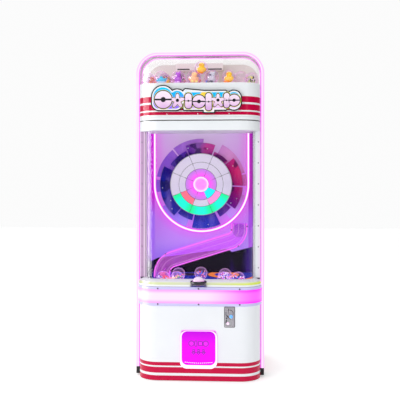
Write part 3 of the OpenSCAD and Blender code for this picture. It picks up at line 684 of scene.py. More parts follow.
def panel_material():
    """Lilac back panel with the U tube's light spill painted on it, and painted shade on the strips outside
    the U.
    """
    s = Shader("back_panel")
    x, _, z = s.xyz()
    foot = 0.69
    rise = (z - foot) / (CORNICE - foot)
    base = s.ramp(rise + s.noise(2.0, 2.0) * 0.08 - 0.04, [
        (0.0, (0.30, 0.12, 1.0)), (0.16, (0.46, 0.22, 1.0)), (0.36, (0.50, 0.14, 0.90)),
        (0.62, (0.52, 0.20, 0.72)), (0.85, (0.60, 0.36, 0.70)), (1.0, (0.62, 0.47, 0.72))])
    base = s.mix((s.noise(5.0, 3.0, (1.0, 1.0, 0.12)) - 0.35) * 0.7, base, (0.75, 0.45, 1.0))
    drop = (z - BOARD_Z).min(0.0)
    off = ((x * x + drop * drop).root() - NEON_R).abs()
    # Painted light: a wide soft spill of the tube's magenta round the U.
    tone = s.mix(off.smooth(0.0, 0.22).flip() * 0.3, base, (0.80, 0.25, 1.0))
    # Painted shade on the strips outside the U: darker towards the top, darkest at the right.
    right = x.above(0.0)
    upper_side_shade = s.mix(right, (0.55, 0.0, 0.62), (0.30, 0.015, 0.38))
    lower_side = s.mix(right, (0.42, 0.16, 1.0), (0.45, 0.08, 0.90))
    side = s.mix((z - 0.95).smooth(0.0, 0.22).flip(), upper_side_shade, lower_side)
    tone = s.mix(x.abs().above(NEON_R), tone, side)
    # Painted light of the tube itself: a soft spill and a tight glow along it.
    spill = off.smooth(0.0, 0.075).flip() * 0.30
    tight = off.smooth(0.004, 0.020).flip() * 0.8
    s.lit(s.mix(spill.max(tight), tone, MAGENTA), 0.62, 0.35)
    s.set(Roughness=0.25)
    s.bump(s.noise(300.0), 0.03)
    return s


def tile_material():
    """Light board tiles: three rings of eight sectors, some of them lit."""
    s = Shader("board_tiles")
    x, up, reach = board_polar(s)
    turn = x.op("ARCTAN2", up) * (180.0 / math.pi)
    ring_1, ring_2 = 0.100, 0.142
    inner = reach.below(ring_1)
    middle = reach.between(ring_1, ring_2)
    low_outer = reach.above(ring_2) * turn.abs().above(112.5)
    cell = ((turn + 22.5) / 45.0).op("FRACT")
    heart = (cell - 0.5).abs().smooth(0.12, 0.5).flip()
    dull = s.mix(s.noise(18.0, 4.0), (0.46, 0.42, 0.56), (0.62, 0.58, 0.72))
    # Painted sheen: the unlit tiles go greyer towards the upper left, where the light falls on them.
    painted_sheen = s.mix(s.noise(7.0), (0.60, 0.56, 0.62), (0.50, 0.44, 0.64))
    dull = s.mix(((x - up) * 2.2 + 0.4).smooth(0.0, 1.0), painted_sheen, dull)
    tone = s.mix(low_outer, dull, s.mix(heart, (0.0, 0.95, 0.33), (0.0, 1.0, 0.72)))
    tone = s.mix(middle * turn.between(-157.5, -112.5), tone, (1.0, 0.16, 0.26))
    tone = s.mix(middle * turn.between(112.5, 157.5), tone, (1.0, 0.30, 0.72))
    hub = s.mix((reach - 0.05).smooth(0.0, 0.055), (1.0, 0.10, 0.98), (0.55, 0.22, 0.80))
    tone = s.mix(inner, tone, hub)
    tone = s.mix(inner * turn.between(112.5, 157.5), tone, (0.0, 0.95, 1.0))
    lit = low_outer.max(middle * turn.abs().between(112.5, 157.5)).max(inner)
    s.colour(s.mix(lit * 0.8, tone, (0.0, 0.0, 0.0)))
    s.glow(s.mix(lit, s.mix(0.65, tone, (0.0, 0.0, 0.0)), tone), 0.85)
    s.set(Roughness=0.28)
    s.bump(s.noise(260.0), 0.04)
    return s


def blade_material(name, stops, clear_share):
    """Tinted acrylic whose colour goes round the board; stops are (turn / 360 + 0.5, colour)."""
    s = Shader(name)
    x, up, reach = board_polar(s)
    turn = x.op("ARCTAN2", up) / (2 * math.pi) + 0.5
    tone = s.ramp(turn + (s.noise(9.0) - 0.5) * 0.05, stops)
    streak = s.noise(14.0, 3.0, (1.0, 1.0, 0.3))
    tone = s.mix(streak.smooth(0.45, 0.8) * 0.4, tone, s.mix(0.5, tone, (0.7, 0.4, 1.0)))
    near = (reach - BOARD_R).smooth(0.0, 0.05).flip()
    tone = s.mix(near * 0.35, tone, (0.02, 0.0, 0.12))
    patch = s.noise(16.0, 1.0).smooth(0.52, 0.60) * up.smooth(-0.05, -0.2).flip().max(0.25)
    tone = s.mix(patch * (0.75 - clear_share * 2.0), tone, (0.004, 0.0, 0.05))
    s.lit(tone, 0.35, 0.8)
    s.set(Roughness=0.12, Specular_IOR_Level=0.2)
    s.see_through(clear_share)
    return s


def lens_material():
    s = Shader("board_lens")
    reach = board_polar(s)[2]
    pink = s.mix(s.noise(60.0, 5.0), (1.0, 0.18, 1.0), (1.0, 0.34, 1.0))
    s.lit(s.mix(reach.smooth(0.030, 0.046), pink, (1.0, 0.75, 1.0)), 0.95)
    s.set(Roughness=0.3)
    s.bump(s.noise(220.0), 0.1)
    return s


def dress_board():
    dress(panel_material(), "back_panel")
    dress(tile_material(), "board_tiles")
    dress(lens_material(), "board_lens")
    blue = (0.02, 0.03, 0.42)
    front = [
        (0.0, blue), (0.12, (0.02, 0.02, 0.3)), (0.24, (0.0, 0.01, 0.3)), (0.32, (0.008, 0.0, 0.17)),
        (0.40, (0.03, 0.0, 0.30)), (0.45, (0.12, 0.02, 0.28)), (0.49, (0.2, 0.06, 0.32)),
        (0.52, (0.45, 0.04, 0.25)), (0.60, (0.32, 0.02, 0.2)), (0.70, (0.55, 0.0, 0.10)),
        (0.77, (0.30, 0.0, 0.12)), (0.84, (0.13, 0.0, 0.2)), (0.95, blue)]
    dress(blade_material("blades_front", front, 0.03), "blades_front")
    lilac = (0.35, 0.3, 0.9)
    rear = [
        (0.0, lilac), (0.2, (0.3, 0.12, 0.8)), (0.35, (0.2, 0.06, 0.55)), (0.5, (0.38, 0.12, 0.55)),
        (0.62, (0.62, 0.25, 0.55)), (0.75, (0.6, 0.1, 0.42)), (0.85, (0.6, 0.3, 0.9)), (1.0, lilac)]
    dress(blade_material("blades_rear", rear, 0.35), "blades_rear")


def liner_material():
    """Inside walls, painted with light and shade: violet at the left where light falls, painted shade at the
    right and towards the foot, and black painted shade with faint streaks of painted reflection behind the
    panel.
    """
    s = Shader("inner_walls")
    x, y, z = s.xyz()
    deep = (y - FRONT - CORNER).smooth(0.0, PANEL - FRONT - CORNER)
    left = s.mix(deep, (0.42, 0.16, 0.55), (0.38, 0.06, 0.62))
    right = s.mix(deep, (0.05, 0.02, 0.10), (0.22, 0.01, 0.34))
    # Lit and shaded copies of the wall colour: painted light at the left, painted shade at the right.
    tone = s.mix(x.above(0.0), left, right)
    # Painted shade towards the foot of the walls.
    tone = s.mix((z - CAVITY_FOOT).smooth(0.0, 0.22).flip(), tone, (0.02, 0.01, 0.05))
    # Behind the panel: black painted shade with faint violet streaks of painted reflection.
    reflection_streaks = s.noise(11.0, 2.0, (1.0, 1.0, 0.15)).smooth(0.5, 0.75)
    cavity = s.mix(reflection_streaks, (0.003, 0.001, 0.010), (0.05, 0.012, 0.24))
    cavity = s.mix(s.noise(4.0, 2.0, (1.0, 1.0, 0.3)).smooth(0.58, 0.7), cavity, (0.07, 0.015, 0.008))
    s.lit(s.mix(y.above(PANEL), tone, cavity), 0.5, 0.4)
    s.set(Roughness=0.35, Specular_IOR_Level=0.1)
    return s


def floor_material():
    """Blue play floor with orange arcs round two places, carried up the kerb behind it."""
    s = Shader("play_floor")
    x, y, z = s.xyz()
    rise = (z - 0.60) * 5.0
    reaches = []
    for cx, cy in ((0.14, PANEL), (-0.08, PANEL - 0.05)):
        dx, dy = x - cx, y - cy
        reaches.append((dx * dx + dy * dy + rise * rise).root())
    bands = ((reaches[0].min(reaches[1]) + s.noise(6.0) * 0.02) * 9.0).op("FRACT")
    tone = s.mix(bands.between(0.0, 0.28), (0.01, 0.02, 0.34), (0.85, 0.22, 0.04))
    s.lit(s.mix(bands.between(0.28, 0.36), tone, (0.02, 0.01, 0.03)), 0.7, 0.6)
    s.set(Roughness=0.3)
    s.bump(s.noise(300.0), 0.08)
    return s


def dress_inside():
    dress(liner_material(), "inner_walls")
    dress(floor_material(), "play_floor")
    dress(lit_plastic("prize_box_liner", (0.85, 0.30, 0.85), (1.0, 0.42, 1.0), 18.0, 0.6, 0.5), "prize_box")


# ---------- neon tubes ----------

def tube_section(half, depth, count=13):
    """Half-round section from one side to the other, bulging forwards."""
    angles = [math.pi * k / (count - 1) for k in range(count)]
    return [(-half * math.cos(a), depth * math.sin(a)) for a in angles]


def arch_path(y, offset):
    """Centre line of the arch from the left foot over the top to the right foot."""
    top, foot = high("arch_shell").z - offset, low("arch_neon").z
    half = high("arch_shell").x - offset
    r = ARCH_R - offset
    legs = 24
    left = [(-half, y, foot + (top - r - foot) * k / legs) for k in range(legs)]
    over = arc(-half + r, top - r, r, 180, 90, 20, y) + arc(half - r, top - r, r, 90, 0, 20, y)
    right = [(half, y, top - r + (foot - top + r) * k / legs) for k in range(1, legs + 1)]
    return left + over + right


def build_arch():
    """Front and rear tubes of the arch, and a thin line along its inner edge."""
    low_y, high_y = low("arch_neon").y, high("arch_neon").y
    mid = (high("arch_shell").x - ARCH_INNER) / 2
    section = tube_section(mid - 0.0006, 0.0078)
    bm = bmesh.new()
    sweep(bm, arch_path(low_y + 0.008, mid), section)
    front = add("arch_tube_front", bm, neon("arch_tube", [
        (0.0, (1.0, 0.22, 1.0)), (0.16, (1.0, 0.52, 1.0)), (0.42, (1.0, 0.62, 1.0)), (0.56, (1.0, 0.92, 1.0)),
        (0.68, (1.0, 0.50, 1.0)), (0.84, (1.0, 0.04, 1.0)), (1.0, (0.95, 0.0, 0.95))]))
    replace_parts(front, "arch_neon")
    bm = bmesh.new()
    sweep(bm, arch_path(high_y - 0.008, mid), [(out, -forward) for out, forward in section])
    add("arch_tube_rear", bm, neon("arch_tube_back", [
        (0.0, MAGENTA), (0.35, (1.0, 0.5, 1.0)), (0.6, (1.0, 0.8, 1.0)), (1.0, MAGENTA)]))
    bm = bmesh.new()
    lip = [(-0.0004, 0.0), (0.0006, 0.0), (0.0006, 0.030), (-0.0004, 0.030)]
    sweep(bm, arch_path(high_y - 0.002, 2 * mid), lip)
    add("arch_inner_line", bm, glow_line("arch_inner", MAGENTA, (1.0, 0.12, 1.0)))


def build_u_tube():
    """The U round the light board, with its clips."""
    bm = bmesh.new()
    top = CORNICE - 0.001
    path = [(-NEON_R, PANEL, top + (BOARD_Z - top) * k / 12) for k in range(12)]
    path += arc(0.0, BOARD_Z, NEON_R, 180, 360, 72, PANEL)
    path += [(NEON_R, PANEL, BOARD_Z + (top - BOARD_Z) * k / 12) for k in range(1, 13)]
    sweep(bm, path, tube_section(0.006, 0.0135))
    tube = add("u_tube", bm, neon("u_tube", [
        (0.0, MAGENTA), (0.12, (1.0, 0.3, 1.0)), (0.3, (1.0, 0.93, 1.0)), (0.7, (1.0, 0.93, 1.0)),
        (0.88, (1.0, 0.3, 1.0)), (1.0, MAGENTA)], 1.1))
    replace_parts(tube, "neon_u")
    clips = bmesh.new()
    for degrees in range(190, 360, 34):
        t = math.radians(degrees)
        place = Matrix.Translation((NEON_R * math.cos(t), PANEL, BOARD_Z + NEON_R * math.sin(t)))
        place = place @ Matrix.Rotation(-t, 4, "Y") @ facing(0, 0, 0)
        lathe(clips, [(0.0, 0.0002), (0.0072, 0.0002), (0.0072, 0.004), (0.0066, 0.005)], place, 20)
    add("u_tube_clips", clips, clear("clip_plastic", body=0.15))


# ---------- light board details ----------

def round_board(turn, r):
    """X and Z of a point round the board's centre; turn in degrees clockwise from the top."""
    t = math.radians(turn)
    return r * math.sin(t), BOARD_Z + r * math.cos(t)


def build_board():
    bm = bmesh.new()
    for i in range(8):
        for r in (0.092, 0.134, 0.188) if i % 2 else (0.060, 0.108, 0.150):
            x, z = round_board(22.5 + 45 * i, r)
            screw(bm, x, BOARD_FACE, z, 0.0028, 0.0012)
    head = painted("board_screw", (0.2, 0.16, 0.22), metallic=1.0)
    # The black screw recesses are painted shade.
    add("board_screws", bm, [head, painted("screw_recess", BLACK, 0.6)])

    ring = bmesh.new()
    for r in (BOARD_R - 0.001, 0.0485):
        inner, outer = r - 0.0012, r + 0.0010
        profile = [(inner, 0.0), (inner, 0.0035), (r, 0.004), (outer, 0.0035), (outer, 0.0)]
        lathe(ring, profile, facing(0, BOARD_FACE + 0.002, BOARD_Z), 120)
    add("board_trims", ring, painted("board_trim", (0.55, 0.52, 0.6), 0.2))

    blade_y = low("blades_front").y
    bolts = bmesh.new()
    for turn, r in ((-95, 0.250), (-118, 0.222), (-130, 0.245), (122, 0.225), (112, 0.245), (-20, 0.247),
                    (10, 0.232), (60, 0.235), (170, 0.262)):
        x, z = round_board(turn, r)
        screw(bolts, x, blade_y, z, 0.0032, 0.0014)
    # The black bolt recesses are painted shade.
    add("blade_bolts", bolts, [brushed("blade_bolt", (0.7, 0.68, 0.75)), painted("bolt_recess", BLACK)])

    edges = bmesh.new()
    for start, end, r in ((-22, 20, 0.268), (-139, -64, 0.266), (154, 192, 0.285),
                          (51, 92, 0.268), (94, 126, 0.268)):
        path = arc(0.0, BOARD_Z, r - 0.0012, 90 - start, 90 - end, 24, blade_y)
        sweep(edges, path, [(-0.0012, 0.0), (-0.0012, 0.0006), (0.0012, 0.0006), (0.0012, 0.0)])
    add("blade_edges", edges, clear("blade_edge", shine=(0.8, 0.5, 1.0), body=0.5))


# ---------- chute light lines ----------

def chute_line(offset, y):
    """Line along the chute at an offset from its middle; positive lies above the ramp."""
    bend, end_bend, slope = 0.080, 0.100, 17.5
    turn = 90 - slope
    across, down = math.cos(math.radians(turn)), math.sin(math.radians(turn))
    top_x, end_x = 0.245, -0.247
    top, turn_z = high("s_chute").z, 0.910
    points = [(top_x - offset, y, top - (top - turn_z) * k / 4) for k in range(4)]
    points += arc(top_x - bend, turn_z, bend - offset, 0, -turn, 18, y)
    ramp_x, ramp_z = top_x - bend + bend * across, turn_z - bend * down
    foot_x = end_x + end_bend - end_bend * across
    foot_z = ramp_z - (ramp_x - foot_x) * math.tan(math.radians(slope))
    low_z = foot_z - end_bend * down
    points += arc(end_x + end_bend, low_z, end_bend + offset, 90 + slope, 180, 18, y)
    points += [(end_x - offset, y, low_z + (low("s_chute").z - low_z) * k / 3) for k in range(1, 4)]
    return points


def build_chute():
    face = low("s_chute").y
    lit = glow_line("chute_line", MAGENTA, (1.0, 0.3, 1.0), 0.9)
    pale = glow_line("chute_pale", (0.9, 0.3, 0.9), (1.0, 0.7, 1.0), 0.7)
    for name, offset, half, shader in (("upper", 0.0465, 0.0038, lit), ("lower", -0.0470, 0.0034, lit),
                                       ("upper_pale", 0.036, 0.0012, pale), ("middle", 0.004, 0.0010, pale),
                                       ("lower_pale", -0.034, 0.0014, pale)):
        bm = bmesh.new()
        sweep(bm, chute_line(offset, face + 0.0015), tube_section(half, 0.0012, 7))
        add("chute_line_" + name, bm, shader)
    bm = bmesh.new()
    for share, side in ((0.05, -1), (0.42, -1), (0.60, 1), (0.80, 1), (0.15, 1), (0.78, -1)):
        line = chute_line(side * 0.049, face)
        x, y, z = line[int(share * (len(line) - 1))]
        screw(bm, x, y - 0.0008, z, 0.0042, 0.0022)
    head = painted("chute_screw", (0.05, 0.04, 0.06), metallic=1.0)
    # The black screw recesses are painted shade.
    add("chute_screws", bm, [head, painted("chute_recess", BLACK)])


# ---------- capsules and toys ----------

def island_centres(node):
    """Centres of the separate balls in a CAD node, in order of height then X."""
    bm = bmesh.new()
    bm.from_mesh(NODES[node].data)
    bmesh.ops.remove_doubles(bm, verts=bm.verts, dist=1e-5)
    seen, centres = set(), []
    for vert in bm.verts:
        if vert in seen:
            continue
        stack, group = [vert], []
        seen.add(vert)
        while stack:
            v = stack.pop()
            group.append(v.co)
            for e in v.link_edges:
                w = e.other_vert(v)
                if w not in seen:
                    seen.add(w)
                    stack.append(w)
        lo = [min(c[i] for c in group) for i in range(3)]
        hi = [max(c[i] for c in group) for i in range(3)]
        centres.append(Vector([(a + b) / 2 for a, b in zip(lo, hi)]))
    bm.free()
    return sorted(centres, key=lambda c: (round(c.z, 3), round(c.y, 3), round(c.x, 3)))


def capsule_shell(bm, centre, turn):
    """Two clear half balls that meet in a lapped seam; the lower half has index 1."""
    r = CAP_R - 0.0012
    lap = 0.002
    steps = 14
    quarter = [math.pi / 2 * k / steps for k in range(steps)]
    place = Matrix.Translation(centre) @ turn.to_4x4()
    seam = [(r + 0.0008, -lap), (r + 0.0010, 0.0), (r + 0.0008, lap)]
    for index, side, start in ((0, 1, seam), (1, -1, [])):
        ball = [(r * math.cos(a), side * (lap + (r - lap) * math.sin(a))) for a in quarter]
        lathe(bm, start + ball + [(0.0, side * r)], place, 36, index)


def toy_part(bm, turn, at, radii, index=0, rings=8):
    """One ellipsoid of a toy, its place turned with the toy."""
    blob(bm, turn @ Vector(at), radii, index, turn, rings)


def toy_chick(bm, turn):
    blob(bm, Vector((0, 0, -0.010)), (0.022, 0.020, 0.018), 0, turn)
    toy_part(bm, turn, (0.004, -0.004, 0.012), (0.015, 0.015, 0.014), rings=14)
    toy_part(bm, turn, (0.006, -0.020, 0.011), (0.006, 0.006, 0.003), 1, 14)
    for s in (-1, 1):
        toy_part(bm, turn, (0.005 + s * 0.007, -0.015, 0.017), (0.0022, 0.0022, 0.0026), 2)
        toy_part(bm, turn, (s * 0.020, 0.002, -0.008), (0.006, 0.012, 0.010))
        toy_part(bm, turn, (s * 0.010, -0.012, -0.027), (0.008, 0.010, 0.004), 1)


def toy_bear(bm, turn):
    blob(bm, Vector((0, 0, -0.012)), (0.020, 0.017, 0.018), 0, turn)
    toy_part(bm, turn, (0, -0.002, 0.011), (0.017, 0.015, 0.014), rings=14)
    toy_part(bm, turn, (0, -0.014, 0.007), (0.008, 0.006, 0.006), 1, 10)
    for s in (-1, 1):
        toy_part(bm, turn, (s * 0.012, 0, 0.023), (0.006, 0.004, 0.006))
        toy_part(bm, turn, (s * 0.006, -0.014, 0.014), (0.0018, 0.0018, 0.0022), 2)
        toy_part(bm, turn, (s * 0.017, -0.006, -0.008), (0.006, 0.007, 0.010))
        toy_part(bm, turn, (s * 0.011, -0.010, -0.027), (0.008, 0.009, 0.006), 1)


def toy_fish(bm, turn):
    toy_part(bm, turn, (0, 0, -0.014), (0.027, 0.016, 0.013), rings=14)
    toy_part(bm, turn, (0, 0, -0.020), (0.023, 0.013, 0.009), 1, 14)
    toy_part(bm, turn, (0.026, 0, -0.006), (0.008, 0.012, 0.003))
    toy_part(bm, turn, (0.0, 0, 0.001), (0.008, 0.002, 0.007))
    for s in (-1, 1):
        toy_part(bm, turn, (-0.017, s * 0.011, -0.011), (0.002, 0.002, 0.002), 2)


def toy_beads(bm, turn):
    for i in range(46):
        spot = Vector((RNG.uniform(-1, 1), RNG.uniform(-1, 1), RNG.uniform(-1, 0.5)))
        if spot.length < 1.0:
            blob(bm, spot * 0.033, (0.0042, 0.0042, 0.0042), i % 3, turn, 6)


TOY_SCALE = {"chick": 1.22, "bear": 1.18, "fish": 1.15}
TOYS = {"chick": toy_chick, "bear": toy_bear, "fish": toy_fish, "beads": toy_beads}
TOY_COLOURS = {
    "yellow": ((0.95, 0.62, 0.02), (0.95, 0.28, 0.02), BLACK),
    "cyan": ((0.02, 0.55, 0.75), (0.6, 0.9, 0.95), BLACK),
    "purple": ((0.42, 0.08, 0.6), (0.85, 0.55, 0.95), BLACK),
    "peach": ((0.95, 0.55, 0.25), (0.98, 0.8, 0.3), (0.85, 0.2, 0.5)),
    "grey": ((0.55, 0.6, 0.64), (0.14, 0.16, 0.2), BLACK),
    "orange": ((0.95, 0.30, 0.02), (0.98, 0.75, 0.1), BLACK),
    "green": ((0.45, 0.75, 0.05), (0.9, 0.9, 0.2), BLACK),
    "red": ((0.85, 0.03, 0.08), (0.95, 0.4, 0.5), (0.1, 0.2, 0.8)),
    "mixed": ((0.1, 0.6, 0.2), (0.95, 0.8, 0.2), (0.9, 0.15, 0.45)),
    "blue": ((0.05, 0.25, 0.9), (0.9, 0.9, 1.0), (0.9, 0.1, 0.4)),
}


def tumbled(most, axis):
    """Random turn about an axis, in radians."""
    return Matrix.Rotation(RNG.uniform(-most, most), 3, axis)


def build_capsules(node, orders, glow):
    """Shells and toys for every ball of a node; orders gives each ball's (toy, colour)."""
    shell = bmesh.new()
    toys = {}
    for i, centre in enumerate(island_centres(node)):
        turn = tumbled(0.5, "X") @ tumbled(0.5, "Y")
        capsule_shell(shell, centre, turn)
        kind, colour = orders(centre, i)
        if kind is None:
            continue
        spin = tumbled(0.9, "Z") @ tumbled(0.25, "X")
        bm = toys.setdefault(colour, bmesh.new())
        made = len(bm.verts)
        TOYS[kind](bm, spin)
        bm.verts.ensure_lookup_table()
        for vert in bm.verts[made:]:
            vert.co = centre + vert.co * TOY_SCALE.get(kind, 1.0)
    top = clear("capsule_clear_" + node, (1.0, 0.96, 1.0), 0.04, 0.8, (1.0, 0.78, 1.0))
    bottom = clear("capsule_tinted_" + node, (1.0, 0.93, 0.99), 0.08, 0.85, (1.0, 0.7, 0.95))
    for half in (top, bottom):
        half.glow((0.95, 0.50, 1.0), glow)
    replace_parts(add(node + "_shells", shell, [top, bottom]), node)
    for colour, bm in toys.items():
        mats = []
        for k, rgb in enumerate(TOY_COLOURS[colour]):
            mats.append(painted(f"toy_{colour}_{k}_{node}", rgb, 0.35, 0.05).glow(rgb, glow * 0.8))
        add(f"{node}_toys_{colour}", bm, mats, angle=80)


def bin_order(centre, _):
    """Chosen toys along the front row and on top, any toy behind them."""
    front = [(-0.324, None, None), (-0.236, "fish", "cyan"), (-0.129, "bear", "purple"),
             (-0.034, "chick", "peach"), (0.079, "bear", "grey"), (0.181, "chick", "yellow"),
             (0.256, None, None), (0.322, "beads", "green")]
    if centre.z > low("bin_capsules").z + 2 * CAP_R:
        return "chick", "yellow"
    if centre.y < FRONT + 0.14 or centre.x > 0.2:
        return min(front, key=lambda spot: abs(spot[0] - centre.x))[1:]
    kind = RNG.choice(["chick", "bear", "fish", "beads"])
    return kind, RNG.choice(["orange", "peach", "mixed", "yellow", "blue"])


def play_order(centre, i):
    """Beads in every capsule on the floor, red at the left end and blue at the right."""
    colours = ["mixed", "purple", "mixed", "green", "blue", "red", "red"]
    if abs(centre.x) > 0.2:
        return "beads", "red" if centre.x < 0 else "blue"
    return "beads", colours[i % len(colours)]


# ---------- sign ----------

# A field gives the distance outside a shape, and is below zero within it.

def circle_field(cx, cz, r):
    return lambda x, z: math.hypot(x - cx, z - cz) - r


def box_field(cx, cz, w, h, r):
    def field(x, z):
        dx, dz = abs(x - cx) - w / 2 + r, abs(z - cz) - h / 2 + r
        return math.hypot(max(dx, 0), max(dz, 0)) + min(max(dx, dz), 0) - r
    return field


def facet_field(points):
    """Convex polygon, corners in anticlockwise order."""
    sides = []
    for (ax, az), (bx, bz) in zip(points, points[1:] + points[:1]):
        length = math.hypot(bx - ax, bz - az)
        sides.append((ax, az, (bz - az) / length, (ax - bx) / length))
    return lambda x, z: max((x - ax) * nx + (z - az) * nz for ax, az, nx, nz in sides)


def union(fields):
    return lambda x, z: min(field(x, z) for field in fields)


def star_field(cx, cz, r, points=5):
    def field(x, z):
        wave = math.cos(points * math.atan2(x - cx, z - cz))
        return math.hypot(x - cx, z - cz) - r * (0.72 + 0.28 * wave)
    return field


def contour(field, level, lo, hi, step=0.003):
    """Closed outlines where a field equals a level, traced by marching squares."""
    nx, nz = int((hi[0] - lo[0]) / step) + 2, int((hi[1] - lo[1]) / step) + 2
    grid = [[field(lo[0] + i * step, lo[1] + k * step) - level for k in range(nz)] for i in range(nx)]

    def cut(i, k, j, m):
        a, b = grid[i][k], grid[j][m]
        t = a / (a - b)
        return (lo[0] + (i + (j - i) * t) * step, lo[1] + (k + (m - k) * t) * step)

    links, places = {}, {}
    for i in range(nx - 1):
        for k in range(nz - 1):
            ring = [(i, k), (i + 1, k), (i + 1, k + 1), (i, k + 1)]
            hits = []
            for a, b in zip(ring, ring[1:] + ring[:1]):
                if (grid[a[0]][a[1]] < 0) != (grid[b[0]][b[1]] < 0):
                    key = (min(a, b), max(a, b))
                    places[key] = cut(*key[0], *key[1])
                    hits.append(key)
            for a, b in zip(hits[::2], hits[1::2]):
                links.setdefault(a, []).append(b)
                links.setdefault(b, []).append(a)
    loops, left = [], set(links)
    while left:
        start = min(left)
        loop, here, before = [], start, None
        while here is not None and here in left:
            left.discard(here)
            if not loop or math.dist(loop[-1], places[here]) > step * 0.1:
                loop.append(places[here])
            onward = [n for n in links[here] if n != before and n in left]
            before, here = here, (onward[0] if onward else None)
        if len(loop) > 8:
            loops.append(loop)
    return loops


def sign_field():
    """The sign's cloud shape, as laid out in the CAD."""
    lo, hi = low("sign_board"), high("sign_board")
    body_lo, body_hi = lo.z + 0.014, lo.z + 0.141
    mid, tall = (body_lo + body_hi) / 2, body_hi - body_lo
    parts = [box_field(lo.x + 0.100, mid, 0.200, tall, 0.050),
             box_field(0.040, mid, 0.272, tall, 0.014),
             box_field(hi.x - 0.049, mid, 0.098, tall, 0.048),
             circle_field(lo.x + 0.072, 1.722, 0.072),
             circle_field(-0.128, 1.716, 0.056),
             facet_field([(-0.112, 1.740), (0.036, 1.740), (0.036, body_hi), (-0.083, 1.774)]),
             box_field(0.064, lo.z + 0.020, 0.076, 0.040, 0.002)]
    return union(parts)


def relief(name, shader, fields, level, depth, box, body=ROOT, step=0.003):
    """Flat plates cut to where each field reaches a level."""
    bm = bmesh.new()
    for field in fields:
        for loop in contour(field, level, *box, step):
            plate(bm, loop, *depth, 0.0002)
    return add(name, bm, shader, body=body, smooth=False)


def icon_fields():
    """Generic pictures along the sign: capsules, stars and pills."""
    return [
        ("capsule", circle_field(-0.212, 1.705, 0.052)),
        ("star", star_field(-0.126, 1.696, 0.044)),
        ("pill", box_field(-0.060, 1.696, 0.040, 0.090, 0.019)),
        ("capsule", circle_field(0.004, 1.692, 0.038)),
        ("pill", box_field(0.062, 1.690, 0.036, 0.104, 0.017)),
        ("star", star_field(0.118, 1.696, 0.042)),
        ("pill", box_field(0.170, 1.698, 0.034, 0.088, 0.016)),
        ("capsule", circle_field(0.215, 1.698, 0.034))]


def sign_print():
    """Blue sky that turns lilac to the right, with round spots of colour."""
    s = Shader("sign_print")
    x, _, z = s.xyz()
    rise = rise_in(s, "sign_board") + (s.noise(9.0) - 0.5) * 0.3
    blue = (0.0, 0.55, 0.95)
    left = s.ramp(rise, [
        (0.12, (0.25, 0.10, 0.85)), (0.42, (0.18, 0.12, 0.95)), (0.62, (0.0, 0.38, 0.95)), (0.9, blue)])
    right = s.ramp(rise, [
        (0.12, (0.85, 0.5, 0.85)), (0.4, (0.55, 0.5, 0.95)), (0.62, (0.0, 0.42, 0.9)), (0.9, blue)])
    tone = s.mix((x + 0.16).smooth(0.0, 0.22), left, right)
    spots = [
        (0.034, 1.727, 0.026, (0.95, 0.6, 0.05)), (0.109, 1.690, 0.020, (0.85, 0.03, 0.06)),
        (0.083, 1.722, 0.016, (0.0, 0.35, 0.45)), (0.020, 1.700, 0.020, (0.75, 0.3, 0.85))]
    for cx, cz, r, spot in spots:
        away = ((x - cx) * (x - cx) + (z - cz) * (z - cz)).root()
        tone = s.mix(away.smooth(r * 0.75, r * 1.1).flip(), tone, spot)
    s.colour(tone).glow(tone, 0.12)
    s.set(Roughness=0.18)
    return s


def icon_fill():
    s = Shader("sign_icon")
    rise = (s.xyz()[2] - 1.65) / 0.1
    s.colour(s.ramp(rise + (s.noise(22.0) - 0.5) * 0.5, [
        (0.0, (0.70, 0.42, 0.75)), (0.45, (0.88, 0.66, 0.84)), (1.0, (0.90, 0.80, 0.90))]))
    s.set(Roughness=0.15)
    return s


def icon_lines(bm, icons, face, box):
    """A bar and a knob across each capsule and pill, and a hub in each star."""
    for kind, field in icons:
        for loop in contour(field, 0.0, *box):
            xs, zs = [p[0] for p in loop], [p[1] for p in loop]
            cx, cz, w = (min(xs) + max(xs)) / 2, (min(zs) + max(zs)) / 2, max(xs) - min(xs)
            if kind == "star":
                plate(bm, rounded(cx, cz, w * 0.24, w * 0.24, w * 0.119), face, face + 0.0003, 0.0001)
                continue
            plate(bm, rounded(cx, cz, w * 0.99, w * 0.10, w * 0.02), face, face + 0.0003, 0.0001)
            plate(bm, rounded(cx, cz, w * 0.30, w * 0.30, w * 0.149), face - 0.0001, face + 0.0003, 0.0001)


def build_sign():
    """Sign in layers: black edge, white margin, printed field, then the icons on it."""
    lo, hi = low("sign_board"), high("sign_board")
    box = ((lo.x - 0.01, lo.z - 0.01), (hi.x + 0.01, hi.z + 0.01))
    face = lo.y
    black = painted("sign_black", (0.01, 0.01, 0.015), 0.25)
    white = painted("sign_white", (0.86, 0.87, 0.9), 0.2)
    yellow = painted("sign_yellow", (0.85, 0.78, 0.12), 0.25)
    icons = icon_fields()
    shape, pictures = [sign_field()], [field for _, field in icons]
    for name, shader, fields, level, front, back in (
            ("base", black, shape, 0.0, 0.0030, 0.0120),
            ("margin", white, shape, -0.0070, 0.0020, 0.0030),
            ("field", sign_print(), shape, -0.0150, 0.0012, 0.0020),
            ("icons_glow", yellow, pictures, 0.0075, 0.0009, 0.0013),
            ("icons_shadow", black, pictures, 0.0052, 0.0006, 0.0010),
            ("icons_face", icon_fill(), pictures, 0.0, 0.0001, 0.0005)):
        made = relief("sign_" + name, shader, fields, level, (face + front, face + back), box)
        if name == "base":
            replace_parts(made, "sign_board")
    bm = bmesh.new()
    icon_lines(bm, icons, face, box)
    add("sign_icon_lines", bm, black)
    posts = bmesh.new()
    for x in (-0.2, 0.2):
        for z in (1.684, 1.740):
            profile = [(0.005, 0.0), (0.005, 0.014), (0.0062, 0.0145), (0.0062, 0.0165)]
            lathe(posts, profile, facing(x, FRONT, z), 24)
    add("sign_standoffs", posts, brushed("standoff_steel", STEEL))


# ---------- front details ----------

